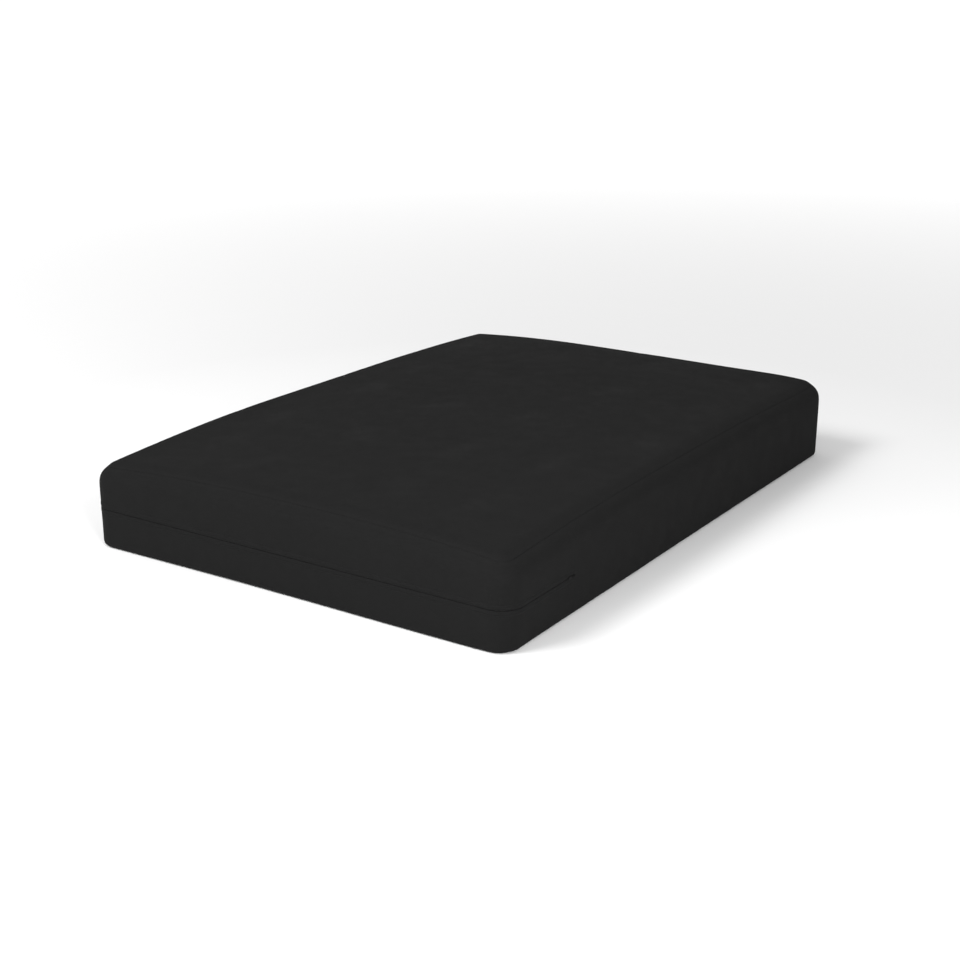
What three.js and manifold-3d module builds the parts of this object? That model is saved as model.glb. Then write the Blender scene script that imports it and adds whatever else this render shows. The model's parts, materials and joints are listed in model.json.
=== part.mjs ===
// A full-size futon mattress: a tufted, layered core inside a fitted zip-round cover.
//
// Millimetres. The origin is on the floor under the middle of the mattress, +Z is up and the
// long side lies along Y. The mattress bends along its long centre line, so every layer that
// crosses x = 0 comes as a seat half (x < 0) and a back half (x > 0). The bend turns about a
// line along Y that lies just above the crown. The cover's zip runs round the -Y end, and its
// slider is parked on the +X side.

import * as THREE from 'three';
import { mergeVertices } from 'three/addons/utils/BufferGeometryUtils.js';
import Module from 'manifold-3d';

const wasm = await Module();
wasm.setup();

// ---------------------------------------------------------------- driving dimensions

const WIDTH = 1365; // across the fold line
const LENGTH = 1915; // along the fold line
const CORNER_HEIGHT = 231; // height of the top at a corner
const RISE_ACROSS = 29; // how much the middle of a short edge stands above a corner
const RISE_ALONG = 25; // the same for a long edge
const RISE_SHARED = 13; // what the two rises have in common at the centre
const CROWN_POWER = 2.5; // the crown is flat in the middle and falls away near the edges
const CORNER_RADIUS = 62; // plan corners
const SMALLEST_CORNER_RADIUS = 8;
const TOP_ROLL = 68; // soft roll of the top edge
const BOTTOM_ROLL = 12;
const TOP_SEAM_ANGLE = THREE.MathUtils.degToRad(54); // where the top panel ends on the roll
const BOTTOM_SEAM_ANGLE = THREE.MathUtils.degToRad(45); // the same on the bottom roll

const FOLD_GAP = 1; // between the two halves of a layer
const TOUCH_GAP = 0.4; // between pieces that touch

const COVER_THICKNESS = 2; // quilt-backed woven cover
const TICKING_THICKNESS = 1.5; // cotton case of the core
const TICKING_SIDE = 12; // from the cover's face to the ticking's, on the sides
const TICKING_TOP = 9; // the same on the top, which leaves room for the tuft pads
const TICKING_BOTTOM = 4.7; // height of the ticking's underside
const TICKING_ROLL = 60;

const SLAB_INSET = 22; // edge of the flat layers, from the cover's face
const LAYER_TOPS = { bottom_batting: 50, lower_foam_slab: 95, fibre_core: 145, upper_foam_slab: 190 };

const TUFT_COLUMNS = [-500, -165, 165, 500]; // x
const TUFT_ROWS = [-740, -370, 0, 370, 740]; // y
const TUFT_HOLE_RADIUS = 3.5;
const TWINE_RADIUS = 2;
const PAD_RADIUS = 10;
const PAD_THICKNESS = 1.6;
const PAD_CLEARANCE = 2.6; // from the cover's inside face to a top pad
const BOTTOM_PAD_CLEARANCE = 0.6; // from the cover's inside face to a bottom pad

const ZIP_HEIGHT = 112; // height of the zip line
const ZIP_SIDE_RUN = 298; // how far the zip runs up each long side, from the corner
const ZIP_FABRIC_GAP = 3; // between the upper and lower strips of the cover's side
const TAPE = { inset: 2.3, thickness: 1, width: 20, gap: 2.2 }; // gap: between the two tapes
const COIL = { inset: 3.6, thickness: 2, width: 3, gap: 1.2 };
const STOP_LENGTH = 1.8;
const SLIDER_LENGTH = 12;
const SLIDER_CLEARANCE = 0.3;
const SLIDER = {
  backGap: 0.6, // from the coils to the back plate
  backThickness: 1.4,
  flangeGap: 0.5, // from the coils' far edges to the flanges
  flangeThickness: 1.3,
  flangeStop: 0.1, // the flanges end this far behind the coils' front
  neckLength: 6,
  neckThickness: 0.6,
  bridgeOut: 0.5, // from the cover's face to the bridge that carries the bail
  bridgeThickness: 0.7,
  bridgeHeight: 4.4,
  bailLength: 13.2,
  bailHeight: 2,
  bailLeg: 1.2,
  bailInside: 3.4, // from the cover's face to the inside of the bail
  bailOut: 4.5,
  overlap: 0.1, // joined blocks share this much
};
const PULL = {
  axisOut: 2.3, // it turns on a line this far out of the wall
  thickness: 1,
  eyeHalfHeight: 2.6,
  tipRadius: 4,
  tipPlace: -20, // middle of the round tip, along the zip from the axis
  barHalf: 0.5,
  slotEnd: -7.4,
  slotHalfHeight: 1.5,
};

// ---------------------------------------------------------------- derived places

const ZIP_END_Y = -LENGTH / 2 + ZIP_SIDE_RUN;
const STOP_END_Y = ZIP_END_Y - TOUCH_GAP;
const COIL_END_Y = STOP_END_Y - STOP_LENGTH - SLIDER_CLEARANCE;
const SLIDER_Y = COIL_END_Y - SLIDER_CLEARANCE - SLIDER_LENGTH / 2;
const FAR = 2 * LENGTH; // past the object on every side

// Each of these surfaces wraps the core: `side` in from the cover's face, `top` below the crown,
// with a top edge that turns over on the radius `roll`.
const COVER_OUTSIDE = { side: 0, top: 0, roll: TOP_ROLL };
const COVER_INSIDE = {
  side: COVER_THICKNESS,
  top: COVER_THICKNESS,
  roll: TOP_ROLL - COVER_THICKNESS,
};
const TICKING_OUTSIDE = { side: TICKING_SIDE, top: TICKING_TOP, roll: TICKING_ROLL };
const TICKING_INSIDE = {
  side: TICKING_SIDE + TICKING_THICKNESS,
  top: TICKING_TOP + TICKING_THICKNESS,
  roll: TICKING_ROLL - TICKING_THICKNESS,
};

// ---------------------------------------------------------------- outline, crown and rings

const CORNER_STEPS = 4;
const SIDE_STEPS = 6;
const CROWN_SCALES = [0.15, 0.4, 0.62, 0.82]; // rings of the crown, from the centre outwards
const ROLL_STEPS = 3;

// Height of the crowned top over the point (x, y).
function crown(x, y) {
  const across = 1 - Math.abs(x / (WIDTH / 2)) ** CROWN_POWER;
  const along = 1 - Math.abs(y / (LENGTH / 2)) ** CROWN_POWER;
  return CORNER_HEIGHT + RISE_ACROSS * across + RISE_ALONG * along - RISE_SHARED * across * along;
}

// The rounded rectangle that lies `inset` inside the cover's face, anticlockwise, as [x, y].
function outline(inset) {
  const radius = Math.max(CORNER_RADIUS - inset, SMALLEST_CORNER_RADIUS);
  const centreX = WIDTH / 2 - inset - radius;
  const centreY = LENGTH / 2 - inset - radius;
  const signs = [[1, 1], [-1, 1], [-1, -1], [1, -1]];
  const corners = signs.map(([signX, signY], quarter) => {
    const arc = [];
    for (let step = 0; step <= CORNER_STEPS; step += 1) {
      const angle = (quarter + step / CORNER_STEPS) * Math.PI / 2;
      arc.push([signX * centreX + radius * Math.cos(angle), signY * centreY + radius * Math.sin(angle)]);
    }
    return arc;
  });
  const points = [];
  corners.forEach((arc, quarter) => {
    points.push(...arc);
    const [startX, startY] = arc[CORNER_STEPS];
    const [endX, endY] = corners[(quarter + 1) % 4][0];
    for (let step = 1; step < SIDE_STEPS; step += 1) {
      const part = step / SIDE_STEPS;
      points.push([startX + (endX - startX) * part, startY + (endY - startY) * part]);
    }
  });
  return points;
}

function levelRing(inset, z) {
  return outline(inset).map(([x, y]) => [x, y, z]);
}

// A ring on the roll of a surface: angle 0 is on the side wall, a quarter turn is on the top.
function rollRing(surface, angle) {
  const inset = surface.side + surface.roll * (1 - Math.cos(angle));
  const drop = surface.top + surface.roll * (1 - Math.sin(angle));
  return outline(inset).map(([x, y]) => [x, y, crown(x, y) - drop]);
}

// A ring on the crown of a surface: the roll's inner edge, scaled towards the centre.
function crownRing(surface, scale) {
  return outline(surface.side + surface.roll).map(([x, y]) => {
    return [x * scale, y * scale, crown(x * scale, y * scale) - surface.top];
  });
}

// The roll's rings between two angles, both included.
function rollRings(surface, fromAngle, toAngle) {
  const rings = [];
  for (let step = 0; step <= ROLL_STEPS; step += 1) {
    rings.push(rollRing(surface, fromAngle + (toAngle - fromAngle) * step / ROLL_STEPS));
  }
  return rings;
}

// ---------------------------------------------------------------- solids

// Turns a closed geometry into a solid that can be cut and joined.
function solid(geometry) {
  const bare = geometry.clone();
  bare.deleteAttribute('normal');
  bare.deleteAttribute('uv');
  const merged = mergeVertices(bare, 1e-4);
  return new wasm.Manifold(new wasm.Mesh({
    numProp: 3,
    vertProperties: new Float32Array(merged.attributes.position.array),
    triVerts: new Uint32Array(merged.index.array),
  }));
}

function geometryOf(body) {
  const mesh = body.getMesh();
  const geometry = new THREE.BufferGeometry();
  geometry.setAttribute('position', new THREE.BufferAttribute(mesh.vertProperties, 3));
  geometry.setIndex(new THREE.BufferAttribute(mesh.triVerts, 1));
  geometry.computeVertexNormals();
  return geometry;
}

function meanPoint(ring) {
  return [0, 1, 2].map((axis) => ring.reduce((sum, point) => sum + point[axis], 0) / ring.length);
}

// How far a ring reaches from the middle.
function reach(ring) {
  return Math.hypot(ring[0][0], ring[0][1]);
}

// Skins a stack of rings that runs over the top, down the outside and back along the underside.
// A looped stack closes on its own first ring; any other is closed by a fan at each end. Each
// four-sided patch is split along the same diagonal on both faces of a sheet, so that the sheet
// keeps its thickness.
function skin(rings, looped) {
  const count = rings[0].length;
  const points = rings.flat();
  const faces = [];
  const bands = looped ? rings.length : rings.length - 1;
  for (let band = 0; band < bands; band += 1) {
    const following = (band + 1) % rings.length;
    const first = band * count;
    const second = following * count;
    const widens = reach(rings[following]) > reach(rings[band]);
    for (let j = 0; j < count; j += 1) {
      const next = (j + 1) % count;
      const [a, b, c, d] = [first + j, second + j, second + next, first + next];
      faces.push(...(widens ? [a, b, c, a, c, d] : [a, b, d, d, b, c]));
    }
  }
  if (!looped) {
    const last = (rings.length - 1) * count;
    const topCentre = points.push(meanPoint(rings[0])) - 1;
    const bottomCentre = points.push(meanPoint(rings[rings.length - 1])) - 1;
    for (let j = 0; j < count; j += 1) {
      const next = (j + 1) % count;
      faces.push(topCentre, j, next, bottomCentre, last + next, last + j);
    }
  }
  const geometry = new THREE.BufferGeometry();
  geometry.setAttribute('position', new THREE.Float32BufferAttribute(points.flat(), 3));
  geometry.setIndex(faces);
  return solid(geometry);
}

function block([x0, x1], [y0, y1], [z0, z1]) {
  const box = new THREE.BoxGeometry(x1 - x0, y1 - y0, z1 - z0);
  box.translate((x0 + x1) / 2, (y0 + y1) / 2, (z0 + z1) / 2);
  return solid(box);
}

function join(bodies) {
  return bodies.reduce((whole, body) => whole.add(body));
}

const SEAT_SIDE = block([-FAR, -FOLD_GAP / 2], [-FAR, FAR], [-FAR, FAR]);
const BACK_SIDE = block([FOLD_GAP / 2, FAR], [-FAR, FAR], [-FAR, FAR]);
const ZIPPED_PART = block([-FAR, FAR], [-FAR, ZIP_END_Y], [-FAR, FAR]);
const PLAIN_PART = block([-FAR, FAR], [ZIP_END_Y + TOUCH_GAP, FAR], [-FAR, FAR]);
const TAPE_PART = block([-FAR, FAR], [-FAR, STOP_END_Y], [-FAR, FAR]);
const COIL_PART = block([-FAR, FAR], [-FAR, COIL_END_Y], [-FAR, FAR]);

// ---------------------------------------------------------------- materials and the group

function material(color, roughness, metalness = 0) {
  return new THREE.MeshStandardMaterial({ color, roughness, metalness });
}

const coverCloth = () => material(0x282828, 0.9);
const tickingCloth = () => material(0xd8d2c2, 0.95);
const cottonBatting = () => material(0xe9e4d6, 1);
const foam = () => material(0xe8dca8, 0.9);
const fibre = () => material(0xf2f2ee, 1);
const twine = () => material(0xf3efe2, 0.9);
const zipTape = () => material(0x1c1c1c, 0.85);
const zipNylon = () => material(0x161616, 0.4);
const blackMetal = () => material(0x202020, 0.45, 0.6);

const futonMattress = new THREE.Group();

function add(name, body, finish, parent = futonMattress) {
  const mesh = new THREE.Mesh(geometryOf(body), finish());
  mesh.name = name;
  parent.add(mesh);
  return mesh;
}

function addHalves(name, body, finish) {
  add(`${name}_seat`, body.intersect(SEAT_SIDE), finish);
  add(`${name}_back`, body.intersect(BACK_SIDE), finish);
}

// ---------------------------------------------------------------- fitted cover

// A crowned sheet: the outer surface from the centre to the edge angle, then the inner one back.
function crownedSheet(outer, inner, edgeAngle) {
  const top = Math.PI / 2;
  return skin([
    ...CROWN_SCALES.map((scale) => crownRing(outer, scale)),
    ...rollRings(outer, top, edgeAngle),
    ...rollRings(inner, edgeAngle, top),
    ...CROWN_SCALES.toReversed().map((scale) => crownRing(inner, scale)),
  ], false);
}

// A point ring on the cover's bottom roll, `depth` under its face, `angle` below the side wall.
function bottomRollRing(depth, angle) {
  const radius = BOTTOM_ROLL - depth;
  const inset = BOTTOM_ROLL - radius * Math.cos(angle);
  return levelRing(inset, BOTTOM_ROLL - radius * Math.sin(angle));
}

// One strip of the cover's side. Each end is either a level cut or a seam on a roll.
function boxingStrip(lowCut, highCut) {
  const upperOuter = highCut === null
    ? rollRings(COVER_OUTSIDE, TOP_SEAM_ANGLE, 0)
    : [levelRing(0, highCut)];
  const lowerOuter = lowCut === null
    ? [levelRing(0, BOTTOM_ROLL), bottomRollRing(0, BOTTOM_SEAM_ANGLE)]
    : [levelRing(0, lowCut)];
  const lowerInner = lowCut === null
    ? [bottomRollRing(COVER_THICKNESS, BOTTOM_SEAM_ANGLE), levelRing(COVER_THICKNESS, BOTTOM_ROLL)]
    : [levelRing(COVER_THICKNESS, lowCut)];
  const upperInner = highCut === null
    ? rollRings(COVER_INSIDE, 0, TOP_SEAM_ANGLE)
    : [levelRing(COVER_THICKNESS, highCut)];
  return skin([...upperOuter, ...lowerOuter, ...lowerInner, ...upperInner], true);
}

function addCover() {
  const seamGapAngle = TOUCH_GAP / TOP_ROLL;
  const topPanel = crownedSheet(COVER_OUTSIDE, COVER_INSIDE, TOP_SEAM_ANGLE + seamGapAngle);
  addHalves('cover_top_panel', topPanel, coverCloth);

  const bottomEdge = BOTTOM_SEAM_ANGLE + TOUCH_GAP / (BOTTOM_ROLL - COVER_THICKNESS);
  const bottomPanel = skin([
    levelRing(BOTTOM_ROLL, COVER_THICKNESS),
    bottomRollRing(COVER_THICKNESS, bottomEdge),
    bottomRollRing(0, bottomEdge),
    levelRing(BOTTOM_ROLL, 0),
  ], false);
  addHalves('cover_bottom_panel', bottomPanel, coverCloth);

  const upperStrip = boxingStrip(ZIP_HEIGHT + ZIP_FABRIC_GAP / 2, null);
  const lowerStrip = boxingStrip(null, ZIP_HEIGHT - ZIP_FABRIC_GAP / 2);
  const fullStrip = boxingStrip(null, null);
  addHalves('zip_boxing_upper', upperStrip.intersect(ZIPPED_PART), coverCloth);
  addHalves('zip_boxing_lower', lowerStrip.intersect(ZIPPED_PART), coverCloth);
  addHalves('plain_boxing', fullStrip.intersect(PLAIN_PART), coverCloth);
}

// ---------------------------------------------------------------- concealed zip

// A level strip with a square section that goes all the way round, behind the cover's face.
function wallStrip(inset, thickness, low, high) {
  return skin([
    levelRing(inset, high),
    levelRing(inset, low),
    levelRing(inset + thickness, low),
    levelRing(inset + thickness, high),
  ], true);
}

// The upper and lower strip of one zip part; `sign` is 1 above the zip line and -1 below it.
function zipStrip({ inset, thickness, width, gap }, sign) {
  const near = ZIP_HEIGHT + sign * gap / 2;
  const far = near + sign * width;
  return wallStrip(inset, thickness, Math.min(near, far), Math.max(near, far));
}

function addZipStrips() {
  for (const [place, sign] of [['upper', 1], ['lower', -1]]) {
    addHalves(`zip_tape_${place}`, zipStrip(TAPE, sign).intersect(TAPE_PART), zipTape);
    addHalves(`zip_coil_${place}`, zipStrip(COIL, sign).intersect(COIL_PART), zipNylon);
  }
}

// A group on the +X side wall at the slider's place: its x runs along the zip towards +Y, its y
// is up, and its z points out of the wall, with 0 on the cover's face.
function sliderFrame() {
  const frame = new THREE.Group();
  const alongZip = new THREE.Vector3(0, 1, 0);
  const up = new THREE.Vector3(0, 0, 1);
  const outOfWall = new THREE.Vector3(1, 0, 0);
  frame.quaternion.setFromRotationMatrix(new THREE.Matrix4().makeBasis(alongZip, up, outOfWall));
  frame.position.set(WIDTH / 2, SLIDER_Y, ZIP_HEIGHT);
  futonMattress.add(frame);
  return frame;
}

const COIL_FRONT = -COIL.inset;
const COIL_BACK = -COIL.inset - COIL.thickness;
const COIL_OUTER = COIL.gap / 2 + COIL.width; // from the zip line to a coil's far edge

// A range with 0 in its middle.
function centred(size) {
  return [-size / 2, size / 2];
}

// The slider holds both coils in a channel behind the cover; a thin neck carries its bail outside.
function slider() {
  const { overlap, bailLength, bailLeg, bailOut, bridgeOut } = SLIDER;
  const body = centred(SLIDER_LENGTH);
  const plateFront = COIL_BACK - SLIDER.backGap;
  const flangeInner = COIL_OUTER + SLIDER.flangeGap;
  const flangeOuter = flangeInner + SLIDER.flangeThickness;
  const flangeDepth = [plateFront - overlap, COIL_FRONT - SLIDER.flangeStop];
  const bridgeTop = bridgeOut + SLIDER.bridgeThickness;
  const bail = centred(bailLength);
  const bailHeight = centred(SLIDER.bailHeight);
  const legDepth = [bridgeTop - overlap, bailOut];
  return join([
    block(body, centred(2 * flangeOuter), [plateFront - SLIDER.backThickness, plateFront]),
    block(body, [flangeInner, flangeOuter], flangeDepth),
    block(body, [-flangeOuter, -flangeInner], flangeDepth),
    block(
      centred(SLIDER.neckLength),
      centred(SLIDER.neckThickness),
      [plateFront - overlap, bridgeOut + overlap],
    ),
    block(bail, centred(SLIDER.bridgeHeight), [bridgeOut, bridgeTop]),
    block([bail[0], bail[0] + bailLeg], bailHeight, legDepth),
    block([bail[1] - bailLeg, bail[1]], bailHeight, legDepth),
    block(bail, bailHeight, [SLIDER.bailInside, bailOut]),
  ]);
}

// A flat teardrop with a slot that clears the bail. It lies along the zip, away from the stops.
function pull() {
  const { barHalf, eyeHalfHeight, tipRadius, tipPlace, slotEnd, slotHalfHeight } = PULL;
  const shape = new THREE.Shape();
  shape.moveTo(barHalf, -eyeHalfHeight);
  shape.lineTo(barHalf, eyeHalfHeight);
  shape.lineTo(tipPlace, tipRadius);
  shape.absarc(tipPlace, 0, tipRadius, Math.PI / 2, Math.PI * 1.5, false);
  shape.closePath();
  const slot = new THREE.Path();
  slot.moveTo(-barHalf, -slotHalfHeight);
  slot.lineTo(slotEnd, -slotHalfHeight);
  slot.lineTo(slotEnd, slotHalfHeight);
  slot.lineTo(-barHalf, slotHalfHeight);
  slot.closePath();
  shape.holes.push(slot);
  const options = { depth: PULL.thickness, bevelEnabled: false, curveSegments: 8 };
  return solid(new THREE.ExtrudeGeometry(shape, options));
}

function addSliderAndStops() {
  const frame = sliderFrame();
  add('zip_slider', slider(), blackMetal, frame);
  const pullMesh = add('zip_pull', pull(), blackMetal, frame);
  pullMesh.position.z = PULL.axisOut - PULL.thickness / 2;

  const stopStart = COIL_END_Y + SLIDER_CLEARANCE - SLIDER_Y;
  const stopRange = [stopStart, stopStart + STOP_LENGTH];
  const coilRange = [COIL_BACK, COIL_FRONT];
  const inner = COIL.gap / 2;
  add('zip_top_stop_upper', block(stopRange, [inner, COIL_OUTER], coilRange), blackMetal, frame);
  add('zip_top_stop_lower', block(stopRange, [-COIL_OUTER, -inner], coilRange), blackMetal, frame);

  const bottomStop = block(
    [-WIDTH / 2 - COIL_FRONT, -WIDTH / 2 - COIL_BACK],
    [STOP_END_Y - STOP_LENGTH, STOP_END_Y],
    [ZIP_HEIGHT - COIL_OUTER, ZIP_HEIGHT + COIL_OUTER],
  );
  add('zip_bottom_stop', bottomStop, blackMetal);
}

// ---------------------------------------------------------------- tufted core

// The twine goes straight through every layer of the core, so each layer has a hole for it.
function tuftHoles() {
  const holes = TUFT_COLUMNS.flatMap((x) => TUFT_ROWS.map((y) => {
    const hole = new THREE.CylinderGeometry(TUFT_HOLE_RADIUS, TUFT_HOLE_RADIUS, FAR, 6);
    hole.rotateX(Math.PI / 2);
    hole.translate(x, y, 0);
    return solid(hole);
  }));
  return join(holes);
}

function addTicking(holes) {
  const topEdge = TOP_SEAM_ANGLE + TOUCH_GAP / TICKING_ROLL;
  const top = crownedSheet(TICKING_OUTSIDE, TICKING_INSIDE, topEdge);
  addHalves('ticking_top', top.subtract(holes), tickingCloth);

  const borderLow = TICKING_BOTTOM + TICKING_THICKNESS + TOUCH_GAP;
  const border = skin([
    ...rollRings(TICKING_OUTSIDE, TOP_SEAM_ANGLE, 0),
    levelRing(TICKING_SIDE, borderLow),
    levelRing(TICKING_SIDE + TICKING_THICKNESS, borderLow),
    ...rollRings(TICKING_INSIDE, 0, TOP_SEAM_ANGLE),
  ], true);
  addHalves('ticking_border', border, tickingCloth);

  const bottom = skin([
    levelRing(TICKING_SIDE, TICKING_BOTTOM + TICKING_THICKNESS),
    levelRing(TICKING_SIDE, TICKING_BOTTOM),
  ], false);
  addHalves('ticking_bottom', bottom.subtract(holes), tickingCloth);
}

function addCoreLayers(holes) {
  const finishes = {
    bottom_batting: cottonBatting,
    lower_foam_slab: foam,
    fibre_core: fibre,
    upper_foam_slab: foam,
  };
  let low = TICKING_BOTTOM + TICKING_THICKNESS + TOUCH_GAP;
  for (const [name, high] of Object.entries(LAYER_TOPS)) {
    const slab = skin([levelRing(SLAB_INSET, high), levelRing(SLAB_INSET, low)], false);
    addHalves(name, slab.subtract(holes), finishes[name]);
    low = high + TOUCH_GAP;
  }
  const underTicking = {
    side: TICKING_INSIDE.side + TOUCH_GAP,
    top: TICKING_INSIDE.top + TOUCH_GAP,
    roll: TICKING_INSIDE.roll - TOUCH_GAP,
  };
  const edgeInset = underTicking.side + underTicking.roll * (1 - Math.cos(TOP_SEAM_ANGLE));
  const batting = skin([
    ...CROWN_SCALES.map((scale) => crownRing(underTicking, scale)),
    ...rollRings(underTicking, Math.PI / 2, TOP_SEAM_ANGLE),
    levelRing(edgeInset, low),
  ], false);
  addHalves('top_batting', batting.subtract(holes), cottonBatting);
}

// One knotted loop of twine with a felt pad on each face of the core.
function tuft(x, y) {
  const bottomPad = COVER_THICKNESS + BOTTOM_PAD_CLEARANCE;
  const topPad = crown(x, y) - COVER_THICKNESS - PAD_CLEARANCE;
  const profile = [
    [0, bottomPad],
    [PAD_RADIUS, bottomPad],
    [PAD_RADIUS, bottomPad + PAD_THICKNESS],
    [TWINE_RADIUS, bottomPad + PAD_THICKNESS],
    [TWINE_RADIUS, topPad - PAD_THICKNESS],
    [PAD_RADIUS, topPad - PAD_THICKNESS],
    [PAD_RADIUS, topPad],
    [0, topPad],
  ].map(([radius, height]) => new THREE.Vector2(radius, height));
  const lathe = new THREE.LatheGeometry(profile, 8);
  lathe.rotateX(Math.PI / 2);
  return solid(lathe);
}

function addTufts() {
  TUFT_COLUMNS.forEach((x, column) => {
    TUFT_ROWS.forEach((y, row) => {
      const mesh = add(`tuft_${column + 1}_${row + 1}`, tuft(x, y), twine);
      mesh.position.set(x, y, 0);
    });
  });
}

// ---------------------------------------------------------------- assembly

const holes = tuftHoles();
addCover();
addZipStrips();
addSliderAndStops();
addTicking(holes);
addCoreLayers(holes);
addTufts();

export default futonMattress;
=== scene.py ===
# The looks of a futon mattress, built round its imported frame. Metres, +Z up, long side along Y.
#
# The cover is a set of sewn panels. Their puffed shape comes from one cloth simulation of the whole
# closed cover, held at its seams and tufts; each panel is then made finely from the same formulas
# as the CAD surface, plus that puff, its seam grooves and its hems. The core's layers lie inside.
# Everything that crosses x = 0 stands for both its seat half and its back half.

import json
import math

import bpy
import numpy as np
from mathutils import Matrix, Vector

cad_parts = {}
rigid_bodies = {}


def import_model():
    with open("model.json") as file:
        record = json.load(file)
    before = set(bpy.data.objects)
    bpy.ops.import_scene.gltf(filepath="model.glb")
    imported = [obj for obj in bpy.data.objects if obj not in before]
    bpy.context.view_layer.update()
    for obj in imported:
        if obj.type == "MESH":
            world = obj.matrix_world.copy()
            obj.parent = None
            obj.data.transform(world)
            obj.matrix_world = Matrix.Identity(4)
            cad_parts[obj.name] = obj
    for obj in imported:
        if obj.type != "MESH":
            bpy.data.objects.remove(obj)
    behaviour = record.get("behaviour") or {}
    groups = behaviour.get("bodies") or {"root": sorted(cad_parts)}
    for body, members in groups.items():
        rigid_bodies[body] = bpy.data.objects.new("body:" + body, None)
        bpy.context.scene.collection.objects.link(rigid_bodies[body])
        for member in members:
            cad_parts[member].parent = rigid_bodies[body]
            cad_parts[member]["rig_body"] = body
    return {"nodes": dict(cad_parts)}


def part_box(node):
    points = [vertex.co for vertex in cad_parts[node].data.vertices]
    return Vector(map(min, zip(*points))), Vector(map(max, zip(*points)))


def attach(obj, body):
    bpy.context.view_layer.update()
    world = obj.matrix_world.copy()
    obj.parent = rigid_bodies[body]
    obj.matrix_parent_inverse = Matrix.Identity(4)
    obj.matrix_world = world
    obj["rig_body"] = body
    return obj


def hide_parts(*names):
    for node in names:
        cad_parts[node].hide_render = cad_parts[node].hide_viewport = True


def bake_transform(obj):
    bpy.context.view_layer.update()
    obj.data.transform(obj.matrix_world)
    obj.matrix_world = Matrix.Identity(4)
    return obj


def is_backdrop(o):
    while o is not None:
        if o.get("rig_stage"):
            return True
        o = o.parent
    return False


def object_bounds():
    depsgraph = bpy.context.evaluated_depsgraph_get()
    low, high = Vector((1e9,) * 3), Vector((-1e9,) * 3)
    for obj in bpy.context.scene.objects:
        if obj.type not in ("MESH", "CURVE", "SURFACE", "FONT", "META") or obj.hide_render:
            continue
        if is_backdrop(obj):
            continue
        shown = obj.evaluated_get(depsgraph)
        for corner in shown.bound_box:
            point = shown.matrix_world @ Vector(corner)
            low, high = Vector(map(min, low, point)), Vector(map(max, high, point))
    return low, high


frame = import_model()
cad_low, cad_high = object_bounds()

# ---------------------------------------------------------------- sizes

SIDE_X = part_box("plain_boxing_back")[1].x  # the cover's faces lie at plus and minus these
SIDE_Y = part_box("plain_boxing_back")[1].y
CORNER_HEIGHT = 0.231
RISE_ACROSS = 0.029  # rise of the crown over a corner, at the middle of a short edge
RISE_ALONG = 0.025  # the same at the middle of a long edge
RISE_SHARED = 0.013
CROWN_POWER = 2.5
CORNER_RADIUS = 0.062
TOP_ROLL = 0.068
BOTTOM_ROLL = 0.012
TOP_SEAM_ANGLE = math.radians(54)
BOTTOM_SEAM_ANGLE = math.radians(45)
COVER_THICKNESS = 0.0016

ZIP_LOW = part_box("zip_boxing_lower_seat")[1].z
ZIP_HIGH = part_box("zip_boxing_upper_seat")[0].z
ZIP_HEIGHT = (ZIP_LOW + ZIP_HIGH) / 2
ZIP_END_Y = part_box("zip_boxing_upper_back")[1].y
HEM = 0.0125  # from the zip line to the topstitching

SETTLING = (  # place, reach and height of each spot where the used core stands high or low at an edge
    ((SIDE_X - 0.07, SIDE_Y), (0.19, 0.10), 0.014),
    ((0.05, SIDE_Y), (0.40, 0.09), -0.006),
    ((-SIDE_X, -0.45), (0.07, 0.38), 0.008),
)
TUCKS = (  # outline parameter, and how far the foot of the side is drawn in there
    (0, 0), (0.38, 0.006), (0.9, 0), (1.07, 0.008), (1.4, 0.006),
    (2, 0), (2.5, 0.004), (3, 0), (3.5, 0.004), (4, 0),
)
TUCK_HEIGHT = 0.07

TUFTS = sorted(name for name in frame["nodes"] if name.startswith("tuft_"))

RNG_SEED = 7


def surface(side, top, roll):
    """A surface that wraps the core: in from the cover's face, below its crown, and its top roll."""
    return {"side": side, "top": top, "roll": roll}


COVER = surface(0, 0, TOP_ROLL)
TICKING = surface(0.012, 0.009, 0.060)
TOP_BATTING = surface(0.0139, 0.0109, 0.0581)

# ---------------------------------------------------------------- noise and lookup


def lattice(x, y, cell, seed):
    """Smooth seeded noise from -1 to 1, with one random value for each cell of the plane."""
    values = np.random.RandomState(seed).uniform(-1, 1, (512, 512))
    cx, cy = x / cell + 200, y / cell + 200
    ix, iy = np.floor(cx).astype(int), np.floor(cy).astype(int)
    fx, fy = cx - ix, cy - iy
    fx, fy = fx * fx * (3 - 2 * fx), fy * fy * (3 - 2 * fy)
    corner = lambda dx, dy: values[(ix + dx) % 512, (iy + dy) % 512]
    low = corner(0, 0) * (1 - fx) + corner(1, 0) * fx
    high = corner(0, 1) * (1 - fx) + corner(1, 1) * fx
    return low * (1 - fy) + high * fy


def cubic_lookup(grid, rows, cols, wrap=False):
    """Catmull-Rom lookup of a grid at fractional rows and columns; columns may wrap round."""
    r0, c0 = np.floor(rows).astype(int), np.floor(cols).astype(int)
    total = 0
    for dr, wr in zip(range(-1, 3), catmull_rom(rows - r0)):
        r = np.clip(r0 + dr, 0, grid.shape[0] - 1)
        for dc, wc in zip(range(-1, 3), catmull_rom(cols - c0)):
            c = c0 + dc
            c = c % grid.shape[1] if wrap else np.clip(c, 0, grid.shape[1] - 1)
            total = total + wr * wc * grid[r, c]
    return total


def catmull_rom(f):
    return (
        0.5 * (-f + 2 * f**2 - f**3),
        0.5 * (2 - 5 * f**2 + 3 * f**3),
        0.5 * (f + 4 * f**2 - 3 * f**3),
        0.5 * (-f**2 + f**3),
    )


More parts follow.
